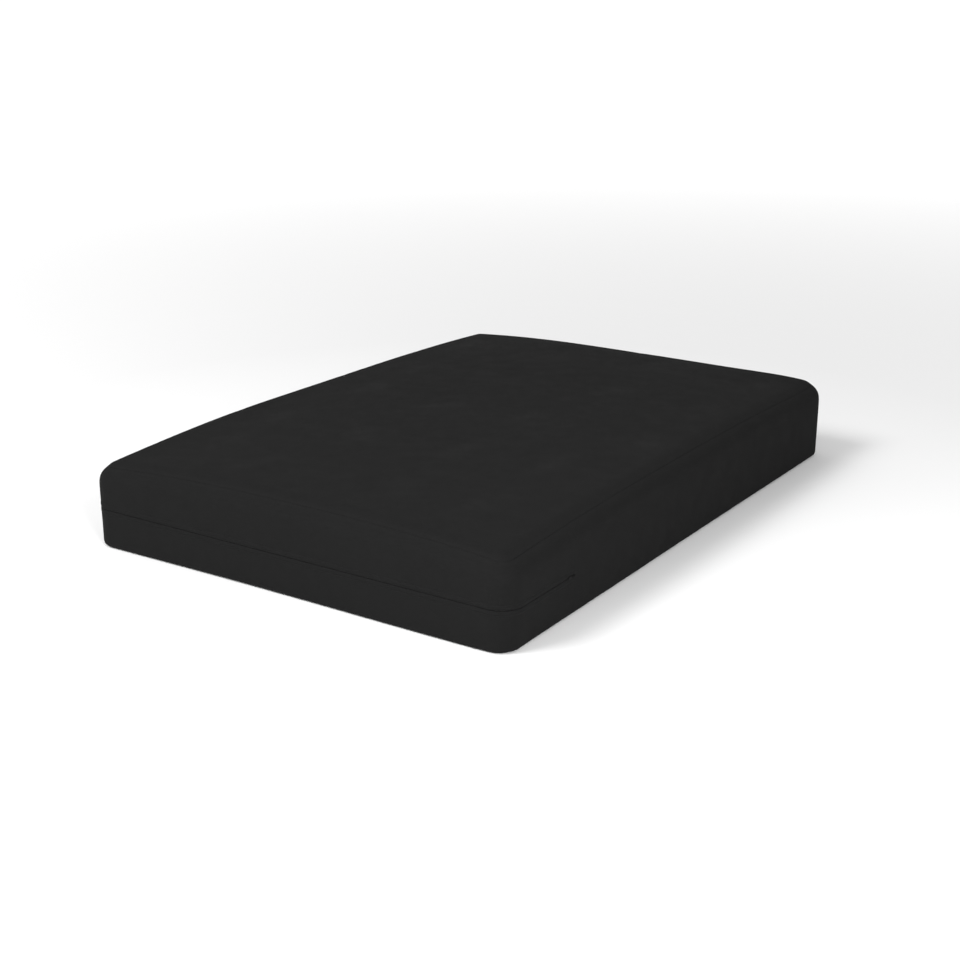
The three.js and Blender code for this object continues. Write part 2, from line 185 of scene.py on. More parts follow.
# ---------------------------------------------------------------- the mattress's own surface

CORNER_SHARE = 0.05  # share of a side's parameter that each of its two half corners takes
SIDES = (  # outward direction, direction of travel, half length, half depth
    ((0, -1), (1, 0), SIDE_X, SIDE_Y),
    ((1, 0), (0, 1), SIDE_Y, SIDE_X),
    ((0, 1), (-1, 0), SIDE_X, SIDE_Y),
    ((-1, 0), (0, -1), SIDE_Y, SIDE_X),
)


def crown(x, y):
    across = 1 - np.abs(x / SIDE_X) ** CROWN_POWER
    along = 1 - np.abs(y / SIDE_Y) ** CROWN_POWER
    full = CORNER_HEIGHT + RISE_ACROSS * across + RISE_ALONG * along - RISE_SHARED * across * along
    for (place_x, place_y), (reach_x, reach_y), height in SETTLING:
        away = ((x - place_x) / reach_x) ** 2 + ((y - place_y) / reach_y) ** 2
        full = full + height * np.exp(-away)
    return full


def tuck(t):
    """How far the foot of the side is drawn in under the mattress."""
    where, how_far = np.array(TUCKS).T
    t = np.asarray(t) % 4
    k = np.clip(np.searchsorted(where, t, side="right") - 1, 0, len(where) - 2)
    f = (t - where[k]) / (where[k + 1] - where[k])
    return how_far[k] + (how_far[k + 1] - how_far[k]) * f * f * (3 - 2 * f)


def outline(t, inset):
    """Points and outward normals of the plan outline, inset from the cover's face. Parameter t runs
    anticlockwise: 0 to 1 along the -Y side, then +X, +Y and -X, from corner middle to corner middle."""
    t, inset = np.broadcast_arrays(np.asarray(t, float) % 4, inset)
    side = np.minimum(np.floor(t).astype(int), 3)
    f = t - side
    out = np.array([s[0] for s in SIDES], float)[side]
    along = np.array([s[1] for s in SIDES], float)[side]
    half = np.array([s[2] for s in SIDES])[side] - CORNER_RADIUS
    depth = np.array([s[3] for s in SIDES])[side] - CORNER_RADIUS
    straight = np.clip((f - CORNER_SHARE) / (1 - 2 * CORNER_SHARE), 0, 1)
    before = np.minimum(f / CORNER_SHARE - 1, 0)
    after = np.maximum((f - 1) / CORNER_SHARE + 1, 0)
    turn = (before + after) * math.pi / 4
    normal = out * np.cos(turn)[..., None] + along * np.sin(turn)[..., None]
    centre = along * (half * (2 * straight - 1))[..., None] + out * depth[..., None]
    return centre + normal * (CORNER_RADIUS - inset)[..., None], normal


def inside(x, y):
    """How far a point of the plan lies inside the cover's face."""
    qx, qy = np.abs(x) - (SIDE_X - CORNER_RADIUS), np.abs(y) - (SIDE_Y - CORNER_RADIUS)
    beyond = np.hypot(np.maximum(qx, 0), np.maximum(qy, 0))
    return CORNER_RADIUS - beyond - np.minimum(np.maximum(qx, qy), 0)


def roll_drop(distance, roll):
    """How far a rolled edge has dropped, at a distance in from its face."""
    share = np.clip(1 - distance / roll, 0, 1)
    return roll * (1 - np.sqrt(1 - share**2))


def seam_inset(shape):
    """A function that gives how far in from the cover's face the top seam lies, round the outline."""
    return lambda t: shape["side"] + shape["roll"] * (1 - math.cos(TOP_SEAM_ANGLE)) + 0 * t


def bottom_seam_inset(t):
    foot = BOTTOM_ROLL * (1 - math.sin(BOTTOM_SEAM_ANGLE))
    return BOTTOM_ROLL * (1 - math.cos(BOTTOM_SEAM_ANGLE)) + tuck(t) * (1 - foot / TUCK_HEIGHT) ** 2


def top_height(shape, x, y):
    return crown(x, y) - shape["top"] - roll_drop(inside(x, y) - shape["side"], shape["roll"])


def upper_wall(shape, t, length, low):
    """Points and normals of a side, at a length up its profile from the height `low`."""
    face, _ = outline(t, shape["side"])
    wall = crown(face[..., 0], face[..., 1]) - shape["top"] - shape["roll"] - low
    angle = np.clip((length - wall) / shape["roll"], 0, None)
    inset = shape["side"] + shape["roll"] * (1 - np.cos(angle))
    plan, out = outline(t, inset)
    rolled = crown(plan[..., 0], plan[..., 1]) - shape["top"] - shape["roll"] * (1 - np.sin(angle))
    z = np.where(angle > 0, rolled, low + length)
    normal = np.concatenate([out * np.cos(angle)[..., None], np.sin(angle)[..., None]], -1)
    return np.concatenate([plan, z[..., None]], -1), normal


def upper_length(shape, t, low):
    """Length of that profile from `low` to the top seam."""
    face, _ = outline(t, shape["side"])
    wall = crown(face[..., 0], face[..., 1]) - shape["top"] - shape["roll"] - low
    return wall + shape["roll"] * TOP_SEAM_ANGLE


def lower_wall(t, length):
    """Points and normals of the cover's side, at a length down its profile from the zip line."""
    t, length = np.broadcast_arrays(t, length)
    angle = np.clip((length - (ZIP_HEIGHT - BOTTOM_ROLL)) / BOTTOM_ROLL, 0, None)
    z = np.where(angle > 0, BOTTOM_ROLL * (1 - np.sin(angle)), ZIP_HEIGHT - length)
    drawn_in = tuck(t) * np.clip(1 - z / TUCK_HEIGHT, 0, 1) ** 2
    plan, out = outline(t, BOTTOM_ROLL * (1 - np.cos(angle)) + drawn_in)
    normal = np.concatenate([out * np.cos(angle)[..., None], -np.sin(angle)[..., None]], -1)
    return np.concatenate([plan, z[..., None]], -1), normal


LOWER_LENGTH = ZIP_HEIGHT - BOTTOM_ROLL + BOTTOM_ROLL * BOTTOM_SEAM_ANGLE


def plan_patch(s, t, inset):
    """Plan points of a panel: its edge is the outline at that inset, and its grid lines run straight
    across. s runs along the -Y side and t along the +X side, from 0 to 1."""
    sides = [0 + s, 2 + (1 - s), 1 + t, 3 + (1 - t)]
    first = [0, 2, 1, 3]
    edges = [np.minimum(side, start + 1 - 1e-9) for side, start in zip(sides, first)]
    front, back, right, left = (outline(edge, inset(edge))[0] for edge in edges)
    across = ((front[:, 0] - front[0, 0]) / (front[-1, 0] - front[0, 0]))[:, None, None]
    along = ((right[:, 1] - right[0, 1]) / (right[-1, 1] - right[0, 1]))[None, :, None]
    ruled = front[:, None] * (1 - along) + back[:, None] * along
    ruled = ruled + left[None] * (1 - across) + right[None] * across
    corners = front[0] * (1 - across) * (1 - along) + front[-1] * across * (1 - along)
    corners = corners + back[0] * (1 - across) * along + back[-1] * across * along
    return ruled - corners


def side_fractions(corner_steps, straight_steps):
    """Parameters along one side, with so many steps round each corner and along the straight."""
    k = np.linspace(-1, 1, straight_steps + 1)
    middle = CORNER_SHARE + (1 - 2 * CORNER_SHARE) * (k + 1) / 2
    corner = np.linspace(0, CORNER_SHARE, corner_steps, endpoint=False)
    return np.concatenate([corner, middle, 1 - corner[::-1]])


def even_stations(start, end, step):
    """Outline parameters from start to end at even steps of length, and the length to each."""
    dense = np.linspace(start, end, 8000)
    plan, _ = outline(dense, 0)
    walked = np.concatenate([[0], np.cumsum(np.linalg.norm(np.diff(plan, axis=0), axis=1))])
    count = max(2, round(walked[-1] / step))
    lengths = np.linspace(0, walked[-1], count + 1)
    return np.interp(lengths, walked, dense), lengths


def straight_parameter(y):
    """Fraction along the +X side at a height y of its straight part."""
    half = SIDE_Y - CORNER_RADIUS
    return CORNER_SHARE + (1 - 2 * CORNER_SHARE) * (y + half) / (2 * half)


ZIP_TURN = straight_parameter(ZIP_END_Y)
ZIPPED = (-ZIP_TURN, 1 + ZIP_TURN)  # outline parameters of the zipped and the plain side
PLAIN = (1 + ZIP_TURN, 4 - ZIP_TURN)

# ---------------------------------------------------------------- meshes


def grid_faces(ids, wrap=False):
    """Quads between the rows of an array of vertex numbers."""
    if wrap:
        ids = np.concatenate([ids, ids[:, :1]], 1)
    a, b, c, d = ids[:-1, :-1], ids[:-1, 1:], ids[1:, 1:], ids[1:, :-1]
    return np.stack([a, b, c, d], -1).reshape(-1, 4)


def make_mesh(name, points, faces, material=None, uvs=None):
    mesh = bpy.data.meshes.new(name)
    mesh.from_pydata(points.reshape(-1, 3).tolist(), [], [list(map(int, f)) for f in faces])
    if uvs is not None:
        layer = mesh.uv_layers.new(name="cloth")
        corners = np.zeros(len(mesh.loops), int)
        mesh.loops.foreach_get("vertex_index", corners)
        layer.data.foreach_set("uv", uvs.reshape(-1, 2)[corners].astype(np.float32).ravel())
    mesh.polygons.foreach_set("use_smooth", np.ones(len(mesh.polygons), bool))
    piece = bpy.data.objects.new(name, mesh)
    bpy.context.scene.collection.objects.link(piece)
    if material:
        mesh.materials.append(material)
    return piece


def store(piece, name, values):
    piece.data.attributes.new(name, "FLOAT", "POINT").data.foreach_set(
        "value", np.asarray(values, np.float32).ravel()
    )


def stands_for(piece, node):
    """A layer that stands for its seat and back halves in CAD."""
    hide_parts(f"{node}_seat", f"{node}_back")
    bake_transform(piece)
    return piece


def closed_grid(top, bottom, wall):
    """One closed surface out of a top grid, a bottom grid and rings of points between their edges.
    Returns its points and faces, and the numbers of the top's points and of the side's."""
    count = top[..., 0].size
    top_ids = np.arange(count).reshape(top.shape[:2])
    bottom_ids = top_ids + count
    wall_ids = np.arange(wall[..., 0].size).reshape(wall.shape[:2]) + 2 * count
    side_ids = np.concatenate([rim(bottom_ids)[None], wall_ids, rim(top_ids)[None]])
    points = np.concatenate([top.reshape(-1, 3), bottom.reshape(-1, 3), wall.reshape(-1, 3)])
    faces = np.concatenate([
        grid_faces(top_ids)[:, ::-1],
        grid_faces(bottom_ids),
        grid_faces(side_ids, wrap=True),
    ])
    return points, faces, top_ids, side_ids


def rim(ids):
    """Numbers of the points round the edge of a grid."""
    return np.concatenate([ids[:-1, 0], ids[-1, :-1], ids[:0:-1, -1], ids[0, :0:-1]])


# ---------------------------------------------------------------- puff of the cover

COARSE_CORNER = 3
COARSE_SHORT = 44
COARSE_LONG = 62
LOWER_ROWS = 6
UPPER_ROWS = 8
CLOTH_FRAMES = 22
CLOTH_PRESSURE = 4.0
CLOTH_SLACK = 0.006
TOP_PUFF = 0.0032  # most that the top panel may stand out between its tufts
SIDE_PUFF = 0.0035  # the same for the sides


def tuft_places():
    """Where the core is tufted, in plan."""
    boxes = [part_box(name) for name in TUFTS]
    return [((low.x + high.x) / 2, (low.y + high.y) / 2) for low, high in boxes]


def closed_cover():
    """The whole cover as one coarse closed mesh: its points, faces, normals and the vertex numbers
    of its top panel and of its side, whose rows run from the bottom seam to the top seam."""
    s = side_fractions(COARSE_CORNER, COARSE_SHORT)
    t = side_fractions(COARSE_CORNER, COARSE_LONG)
    top_plan = plan_patch(s, t, seam_inset(COVER))
    bottom_plan = plan_patch(s, t, bottom_seam_inset)
    x, y = top_plan[..., 0], top_plan[..., 1]
    top = np.stack([x, y, top_height(COVER, x, y)], -1)
    foot = BOTTOM_ROLL * (1 - math.sin(BOTTOM_SEAM_ANGLE))
    bottom_z = np.zeros(bottom_plan.shape[:2])
    bottom_z[[0, -1]] = bottom_z[:, [0, -1]] = foot
    bottom = np.concatenate([bottom_plan, bottom_z[..., None]], -1)
    stations = np.concatenate([s[:-1], 1 + t[:-1], 2 + s[:-1], 3 + t[:-1]])
    lower = np.linspace(LOWER_LENGTH, 0, LOWER_ROWS + 1)[1:]
    rows, normals = zip(*[lower_wall(stations, length) for length in lower])
    full = upper_length(COVER, stations, ZIP_HEIGHT)
    shares = np.linspace(0, 1, UPPER_ROWS + 1)[1:-1]
    high_rows, high_normals = zip(*[upper_wall(COVER, stations, full * u, ZIP_HEIGHT) for u in shares])
    points, faces, top_ids, side_ids = closed_grid(top, bottom, np.array([*rows, *high_rows]))
    wall_normals = np.array([normals[0] * 0, *normals, *high_normals, high_normals[0] * 0])
    return points, faces, top_ids, side_ids, wall_normals, s, t, stations


def held_points(points, top_ids, side_ids, stations):
    """Weights of the points that the simulation holds: seams, zip, tufts and the whole underside."""
    weights = np.zeros(len(points))
    count = top_ids.size
    weights[count:2 * count] = 1
    weights[side_ids[0]] = 1
    weights[side_ids[-1]] = 1
    place = (stations + ZIP_TURN) % 4
    zipped = place <= 1 + 2 * ZIP_TURN
    weights[side_ids[LOWER_ROWS, zipped]] = 1
    for end in (0, 1 + 2 * ZIP_TURN):
        nearest = np.argmin(np.abs((place - end + 2) % 4 - 2))
        weights[side_ids[:, nearest]] = 1
    top = points[top_ids.ravel()]
    for x, y in tuft_places():
        reach = np.hypot(top[:, 0] - x, top[:, 1] - y)
        near = top_ids.ravel()[reach < 0.03]
        weights[near] = 1
    return weights


def simulate_puff():
    """Inflates the cover a little and returns how far it moved outwards, on its top and its side."""
    points, faces, top_ids, side_ids, wall_normals, s, t, stations = closed_cover()
    blown = make_mesh("blown_cover", points, faces)
    weights = held_points(points, top_ids, side_ids, stations)
    group = blown.vertex_groups.new(name="held")
    for weight in np.unique(weights[weights > 0]):
        group.add(np.flatnonzero(weights == weight).tolist(), float(weight), "REPLACE")
    cloth = blown.modifiers.new("Cloth", "CLOTH")
    cloth.settings.quality = 6
    cloth.settings.mass = 0.4
    cloth.settings.tension_stiffness = 20
    cloth.settings.compression_stiffness = 20
    cloth.settings.bending_stiffness = 12
    cloth.settings.use_pressure = True
    cloth.settings.uniform_pressure_force = CLOTH_PRESSURE
    cloth.settings.shrink_min = -CLOTH_SLACK
    cloth.settings.vertex_group_mass = "held"
    cloth.settings.effector_weights.gravity = 0
    cloth.point_cache.frame_end = CLOTH_FRAMES
    scene = bpy.context.scene
    for frame_number in range(1, CLOTH_FRAMES + 1):
        scene.frame_set(frame_number)
    settled = blown.evaluated_get(bpy.context.evaluated_depsgraph_get()).to_mesh()
    moved = np.zeros(len(points) * 3)
    settled.vertices.foreach_get("co", moved)
    moved = moved.reshape(-1, 3) - points
    bpy.data.objects.remove(blown)
    scene.frame_set(1)
    top = moved[top_ids][..., 2]
    side = (moved[side_ids] * wall_normals).sum(-1)
    return top, side, s, t, stations


def cap(values, most):
    """Scales a puff so that all but its highest points stay under the most, then rounds those off."""
    high = max(np.percentile(values, 98), 1e-6)
    return most * np.tanh(values / high)


class Puff:
    """The simulated puff, looked up anywhere on the top and the side."""

    def __init__(self):
        top, side, self.s, self.t, self.stations = simulate_puff()
        print("puff_mm top", round(top.max() * 1000, 1), "side", round(side.max() * 1000, 1))
        self.top_grid, self.side_grid = cap(top, TOP_PUFF), cap(np.maximum(side, 0), SIDE_PUFF)

    def top(self, s, t):
        rows = np.interp(s, self.s, np.arange(len(self.s)))
        cols = np.interp(t, self.t, np.arange(len(self.t)))
        return cubic_lookup(self.top_grid, rows, cols)

    def side(self, t, row):
        """Row 0 is the bottom seam, LOWER_ROWS the zip line and the last row the top seam."""
        known = np.append(self.stations, 4)
        cols = np.interp(t % 4, known, np.arange(len(known)))
        return cubic_lookup(self.side_grid, row, cols, wrap=True)


# ---------------------------------------------------------------- relief of the cover

SEAM_DEPTH = 0.00012
SEAM_WIDTH = 0.0009
SEAM_ALLOWANCE = 0.004  # the very edge is turned in by this much, as a sewn edge is
TURNED_EDGE = 0.00004  # how little of the cloth's face the turned edge takes up
RIDGE_HEIGHT = 0.00025  # the cloth stands up beside a seam, most at RIDGE_REACH from it
RIDGE_REACH = 0.007
PUCKER_HEIGHT = 0.0004
PUCKER_REACH = 0.012
LUMP_HEIGHT = 0.00008
TUFT_DIP = 0.0016
TUFT_REACH = 0.055
# how much lighter the cloth is beside a seam: rubbed wear with painted highlight
SEAM_WEAR_AND_HIGHLIGHT = 0.2
# places of the painted sheen patches on the top panel
PATCH_COLUMNS = (-0.48, -0.17, 0.17, 0.48)
PATCH_ROWS = (-0.72, -0.36, 0, 0.36, 0.72)
EDGE_PLUMP = 0.003  # the filling pushes the side out just under its top seam
PLUMP_REACH = 0.062
HEM_RISE = 0.0008  # the folded hem over the zip is this much prouder than the cloth beyond it
HEM_FOLD_DEPTH = 0.0008
HEM_FOLD_ROUNDING = 0.0018
HEM_GAP = 0.0012  # between the two hems, where the slider's neck runs
SEAM_ROWS = (0, 0.0001, 0.0010, 0.0022, 0.0036, 0.0055, 0.008, 0.0115, 0.016)
HEM_ROWS = (
    0, 0.0006, 0.0014, 0.0026, 0.0042, 0.0062, 0.0085,
    0.0105, 0.0118, 0.0125, 0.0132, 0.0145, 0.017, 0.021,
)
FINE = 0.007  # grid spacing of the cover


def groove(distance):
    """How far the cloth dives into a seam, and stands up beside it, at a distance from the seam."""
    d = np.abs(distance)
    ridge = RIDGE_HEIGHT * (d / RIDGE_REACH) * np.exp(1 - d / RIDGE_REACH)
    allowance = SEAM_ALLOWANCE * np.exp(-((d / TURNED_EDGE) ** 2))
    return ridge - SEAM_DEPTH * np.exp(-d / SEAM_WIDTH) - allowance


def puckers(u, v, distance, seed):
    """Small creases that die away from a seam."""
    return PUCKER_HEIGHT * lattice(u, v, 0.013, seed) * np.exp(-distance / PUCKER_REACH) * (distance > 0)


def lumps(u, v, distance, seed):
    """The uneven filling under the cloth, fading out towards its seams."""
    broad = lattice(u, v, 0.11, seed) + 0.45 * lattice(u, v, 0.047, seed + 1)
    return LUMP_HEIGHT * broad * (1 - np.exp(-((distance / 0.03) ** 2)))


def dips(x, y):
    """Shallow dips over the tufts, each a little off its place."""
    total = np.zeros_like(x)
    shift = np.random.RandomState(RNG_SEED).uniform(-0.02, 0.02, (len(TUFTS), 2))
    for (tuft_x, tuft_y), (dx, dy) in zip(tuft_places(), shift):
        reach = ((x - tuft_x - dx) ** 2 + (0.6 * (y - tuft_y - dy)) ** 2) / TUFT_REACH**2
        total -= TUFT_DIP * np.exp(-reach)
    return total


def grid_normals(points):
    """Unit normals of a grid of points, by central differences."""
    normal = np.cross(np.gradient(points, axis=0), np.gradient(points, axis=1))
    return normal / np.maximum(np.linalg.norm(normal, axis=-1, keepdims=True), 1e-12)


def zip_fold(distance):
    """Height of the hem at a distance from its folded edge: a rounded fold, then a topstitched welt."""
    fold = -HEM_FOLD_DEPTH * np.exp(-((distance / HEM_FOLD_ROUNDING) ** 2))
    welt = HEM_RISE / (1 + np.exp((distance - HEM) / 0.0007))
    stitch_line = -0.0007 * np.exp(-(((distance - HEM) / 0.0011) ** 2))
    return fold + welt + stitch_line


# ---------------------------------------------------------------- sheets and solids


def shell_mesh(name, points, uvs, thickness, material, flip=False, wear_and_painted_highlight=None):
    """A sheet of cloth with its thickness: a grid of outer points, the same points further in, and
    a rim round the two."""
    outward = grid_normals(points) * (-1 if flip else 1)
    inner = points - outward * thickness
    rows, cols = points.shape[:2]
    outer_ids = np.arange(rows * cols).reshape(rows, cols)
    inner_ids = outer_ids + rows * cols
    edge = grid_faces(np.stack([rim(outer_ids), rim(inner_ids)]), wrap=True)
    faces = np.concatenate([grid_faces(outer_ids)[:, ::-1], grid_faces(inner_ids), edge])
    if flip:
        faces = faces[:, ::-1]
    piece = make_mesh(name, np.concatenate([points, inner]), faces, material, np.concatenate([uvs, uvs]))
    # per-point lightening: rubbed wear, painted highlight and painted sheen
    if wear_and_painted_highlight is not None:
        store(piece, "wear_and_painted_highlight", np.concatenate([wear_and_painted_highlight, wear_and_painted_highlight]))
    return piece


def seam_wear_and_highlight(distance):
    """How much lighter the cloth is at a distance from a seam, most on the ridge beside it: partly rubbed
    wear and partly painted highlight.
    """
    return SEAM_WEAR_AND_HIGHLIGHT * np.exp(-(((np.abs(distance) - 0.006) / 0.006) ** 2))


def painted_sheen_patches(x, y):
    """Faint painted sheen: lighter patches over the lumps between the tufts, each with a ragged edge."""
    random = np.random.RandomState(RNG_SEED + 1)
    total = np.zeros_like(x)
    for column in PATCH_COLUMNS:
        for row in PATCH_ROWS:
            place_x, place_y = column + random.uniform(-0.07, 0.07), row + random.uniform(-0.07, 0.07)
            wide, long = random.uniform(0.03, 0.055), random.uniform(0.05, 0.10)
            lean = random.uniform(-0.5, 0.5)
            dx, dy = x - place_x, y - place_y
            away = ((dx - lean * dy) / wide) ** 2 + (dy / long) ** 2
            total = np.maximum(total, random.uniform(0.4, 1.0) * np.exp(-away))
    ragged = 0.75 + 0.5 * lattice(x, y, 0.016, 73) + 0.35 * lattice(x, y, 0.007, 74)
    return total * np.clip(ragged, 0, 1.2)


def panel_stations(size, step):
    """Fractions along one side of a panel, crowded at its edges so that its seams come out crisp."""
    straight = round((size - 2 * CORNER_RADIUS) / step)
    even = side_fractions(12, straight)
    corner = CORNER_SHARE * (even[:12] / CORNER_SHARE) ** 1.6
    return np.concatenate([corner, even[12:-12], 1 - corner[::-1]])


def panel_grid(shape, step, inset=None):
    """Plan points of a whole panel with their fractions, and how far each is from the seam."""
    inset = seam_inset(shape) if inset is None else inset
    s = panel_stations(2 * SIDE_X, step)
    t = panel_stations(2 * SIDE_Y, step)
    plan = plan_patch(s, t, inset)
    x, y = plan[..., 0], plan[..., 1]
    grid_s, grid_t = np.meshgrid(s, t, indexing="ij")
    return x, y, grid_s, grid_t, np.maximum(inside(x, y) - edge_distance(x, y, inset), 0)


def edge_distance(x, y, inset):
    """The inset of a panel's edge at the outline place nearest to a point of its plan."""
    along_x, along_y = (x / SIDE_X + 1) / 2, (y / SIDE_Y + 1) / 2
    gaps = np.stack([SIDE_Y + y, SIDE_X - x, SIDE_Y - y, SIDE_X + x])
    places = np.stack([0 + along_x, 1 + along_y, 3 - along_x, 4 - along_y - 1e-9])
    return np.take_along_axis(inset(places), gaps.argmin(0)[None], 0)[0]


def row_lengths(full, near, far, step):
    """Lengths up a strip at each station: set distances from its low edge, set distances from its
    high edge, and even steps between."""
    full = np.asarray(full)
    start, end = near[-1], full - far[-1]
    count = max(2, round(float(np.mean(end - start)) / step))
    rows = [np.full_like(full, d) for d in near]
    rows += [start + (end - start) * k / count for k in range(1, count)]
    rows += [full - d for d in reversed(far)]
    return np.array(rows)


# ---------------------------------------------------------------- the cover


def top_panel(material):
    x, y, s, t, distance = panel_grid(COVER, FINE)
    height = top_height(COVER, x, y) + puff.top(s, t) + dips(x, y) + lumps(x, y, distance, 11)
    points = np.stack([x, y, np.maximum(height, top_height(COVER, x, y) - 0.0005)], -1)
    relief = groove(distance) + puckers(x, y, distance, 12)
    points = points + grid_normals(points) * relief[..., None]
    uvs = np.stack([x, y], -1)
    # lighter marks on the top: rubbed wear with painted highlight beside the seam, and painted sheen patches
    # over the lumps
    wear_and_painted_highlight = np.maximum(seam_wear_and_highlight(distance), painted_sheen_patches(x, y))
    return shell_mesh("cover_top_panel", points, uvs, COVER_THICKNESS, material, wear_and_painted_highlight=wear_and_painted_highlight)


def bottom_panel(material):
    x, y, _, _, distance = panel_grid(COVER, 2 * FINE, bottom_seam_inset)
    foot = BOTTOM_ROLL * (1 - math.sin(BOTTOM_SEAM_ANGLE))
    round_in = BOTTOM_ROLL * math.sin(BOTTOM_SEAM_ANGLE)
    height = foot * np.clip(1 - distance / round_in, 0, 1) ** 2
    height = height + 0.00025 * (1 + lattice(x, y, 0.08, 21)) * (1 - np.exp(-((distance / 0.03) ** 2)))
    height = height + SEAM_DEPTH * 0.6 * np.exp(-distance / SEAM_WIDTH)
    points = np.stack([x, y, height], -1)
    uvs = np.stack([x, -y], -1)
    return shell_mesh("cover_bottom_panel", points, uvs, COVER_THICKNESS, material, flip=True, wear_and_painted_highlight=0 * x)


def side_surface(t, walked, length, ends, zipped):
    """Points of the cover's side with all its relief, and how far each is from the nearest seam.
    length is up from the zip line, ends are the lengths along at which the strip is sewn."""
    full = upper_length(COVER, t, ZIP_HEIGHT)
    up, up_normal = upper_wall(COVER, t, np.maximum(length, 0), ZIP_HEIGHT)
    down, down_normal = lower_wall(t, np.maximum(-length, 0))
    high = (length >= 0)[..., None]
    points, normals = np.where(high, up, down), np.where(high, up_normal, down_normal)
    row = LOWER_ROWS + np.where(length >= 0, UPPER_ROWS * length / full, LOWER_ROWS * length / LOWER_LENGTH)
    to_ends = np.minimum(np.abs(walked - ends[0]), np.abs(walked - ends[1]))
    to_top, to_bottom = full - length, length + LOWER_LENGTH
    seam = np.minimum(np.minimum(to_top, to_bottom), to_ends)
    relief = puff.side(t, row) + groove(to_top) + groove(to_ends) + 0.6 * groove(to_bottom)
    relief = relief + EDGE_PLUMP * np.sin(math.pi * np.clip(to_top / PLUMP_REACH, 0, 1)) ** 2
    relief = relief + puckers(walked, length, seam, 31)
    free = np.minimum(seam, np.abs(length) if zipped else seam)
    relief = relief + lumps(walked, length, free, 33)
    if zipped:
        relief = relief + zip_fold(np.abs(length) - HEM_GAP / 2)
        relief = np.minimum(relief, 0.0003 + np.maximum(np.abs(length) - 0.003, 0) * 0.35)
    return points + normals * relief[..., None], normals, seam


def side_strip(name, material, span, near, far, low, high, zipped):
    """One strip of the cover's side, between two outline parameters and two lengths from the zip."""
    t, walked = even_stations(*span, FINE)
    ends = (walked[0], walked[-1])
    edges = np.array(SEAM_ROWS)
    walked = np.unique(np.concatenate([walked, ends[0] + edges, ends[1] - edges]))
    t = np.interp(walked, *even_lengths(span))
    bottom = np.broadcast_to(low, t.shape)
    top = high(t)
    length = bottom + row_lengths(top - bottom, near, far, FINE)
    walked, t = np.broadcast_to(walked, length.shape), np.broadcast_to(t, length.shape)
    points, _, seam = side_surface(t, walked, length, ends, zipped)
    uvs = np.stack([walked, length], -1)
    # lighter beside the seams: rubbed wear with painted highlight
    return shell_mesh(name, points, uvs, COVER_THICKNESS, material, flip=True, wear_and_painted_highlight=seam_wear_and_highlight(seam))


def even_lengths(span):
    """Lengths along the outline between two parameters, with the parameters at them."""
    t, walked = even_stations(*span, 0.002)
    return walked, t


def cover_sides(material):
    half_gap = HEM_GAP / 2
    seam_length = lambda t: upper_length(COVER, t, ZIP_HEIGHT)
    zip_length = lambda t: np.full_like(t, -half_gap)
    return [
        side_strip("zip_boxing_upper", material, ZIPPED, HEM_ROWS, SEAM_ROWS, half_gap, seam_length, True),
        side_strip("zip_boxing_lower", material, ZIPPED, SEAM_ROWS, HEM_ROWS, -LOWER_LENGTH, zip_length,
                   True),
        side_strip("plain_boxing", material, PLAIN, SEAM_ROWS, SEAM_ROWS, -LOWER_LENGTH, seam_length, False),
    ]


def topstitching(name, material, side):
    """A row of stitches through a hem, above the zip line (side 1) or below it (side -1)."""
    t, walked = even_stations(ZIPPED[0], ZIPPED[1], STITCH_PITCH)
    t, walked = t[2:-2], walked[2:-2]
    length = np.full_like(t, side * (HEM_GAP / 2 + HEM))
    ends = (0, walked[-1] + 2 * STITCH_PITCH)
    points, normals, _ = side_surface(t, walked, length, ends, True)
    along = np.gradient(points, axis=0)
    along /= np.linalg.norm(along, axis=1, keepdims=True)
    return thread_loops(name, points + normals * 0.0001, along, normals, material)


def thread_loops(name, centres, along, outward, material):
    """Short raised stitches: each a bent thread that goes down into the cloth at both ends."""
    k = np.linspace(-1, 1, 7)
    path_along, path_out = k * STITCH_LENGTH / 2, THREAD_RADIUS * (1.3 - 3.2 * k**4)
    turn = np.linspace(0, 2 * math.pi, 6, endpoint=False)
    across = np.cross(outward, along)
    middle = (centres[:, None] + along[:, None] * path_along[None, :, None]
              + outward[:, None] * path_out[None, :, None])
    ring = (across[:, None, None] * np.cos(turn)[None, None, :, None]
            + outward[:, None, None] * np.sin(turn)[None, None, :, None])
    points = middle[:, :, None] + ring * THREAD_RADIUS
    count, rows, sides = points.shape[:3]
    one = grid_faces(np.arange(rows * sides).reshape(rows, sides), wrap=True)
    faces = (one[None] + (np.arange(count) * rows * sides)[:, None, None]).reshape(-1, 4)
    uvs = np.stack(np.broadcast_arrays(path_along[None, :, None] + 0.01 * np.arange(count)[:, None, None],
                                       (turn * THREAD_RADIUS)[None, None]), -1)
    return make_mesh(name, points, faces[:, ::-1], material, uvs)


# ---------------------------------------------------------------- the zip

STITCH_PITCH = 0.0036
STITCH_LENGTH = 0.0027
THREAD_RADIUS = 0.00032
TAPE_DEPTH = 0.0023  # how far the tapes' and coils' outer faces lie inside the cover's face
TAPE_THICKNESS = 0.001
TAPE_EDGE = 0.0011  # from the zip line to the tape's edge
TAPE_WIDTH = 0.020
COIL_DEPTH = 0.0046  # the same, to the middle of a coil
COIL_MIDDLE = 0.0021  # from the zip line to the middle of a coil
COIL_REACH = (0.0012, 0.0007)  # half its height and half its depth, less the wire
COIL_WIRE = 0.0003
COIL_PITCH = 0.0020
COIL_STEPS = 9


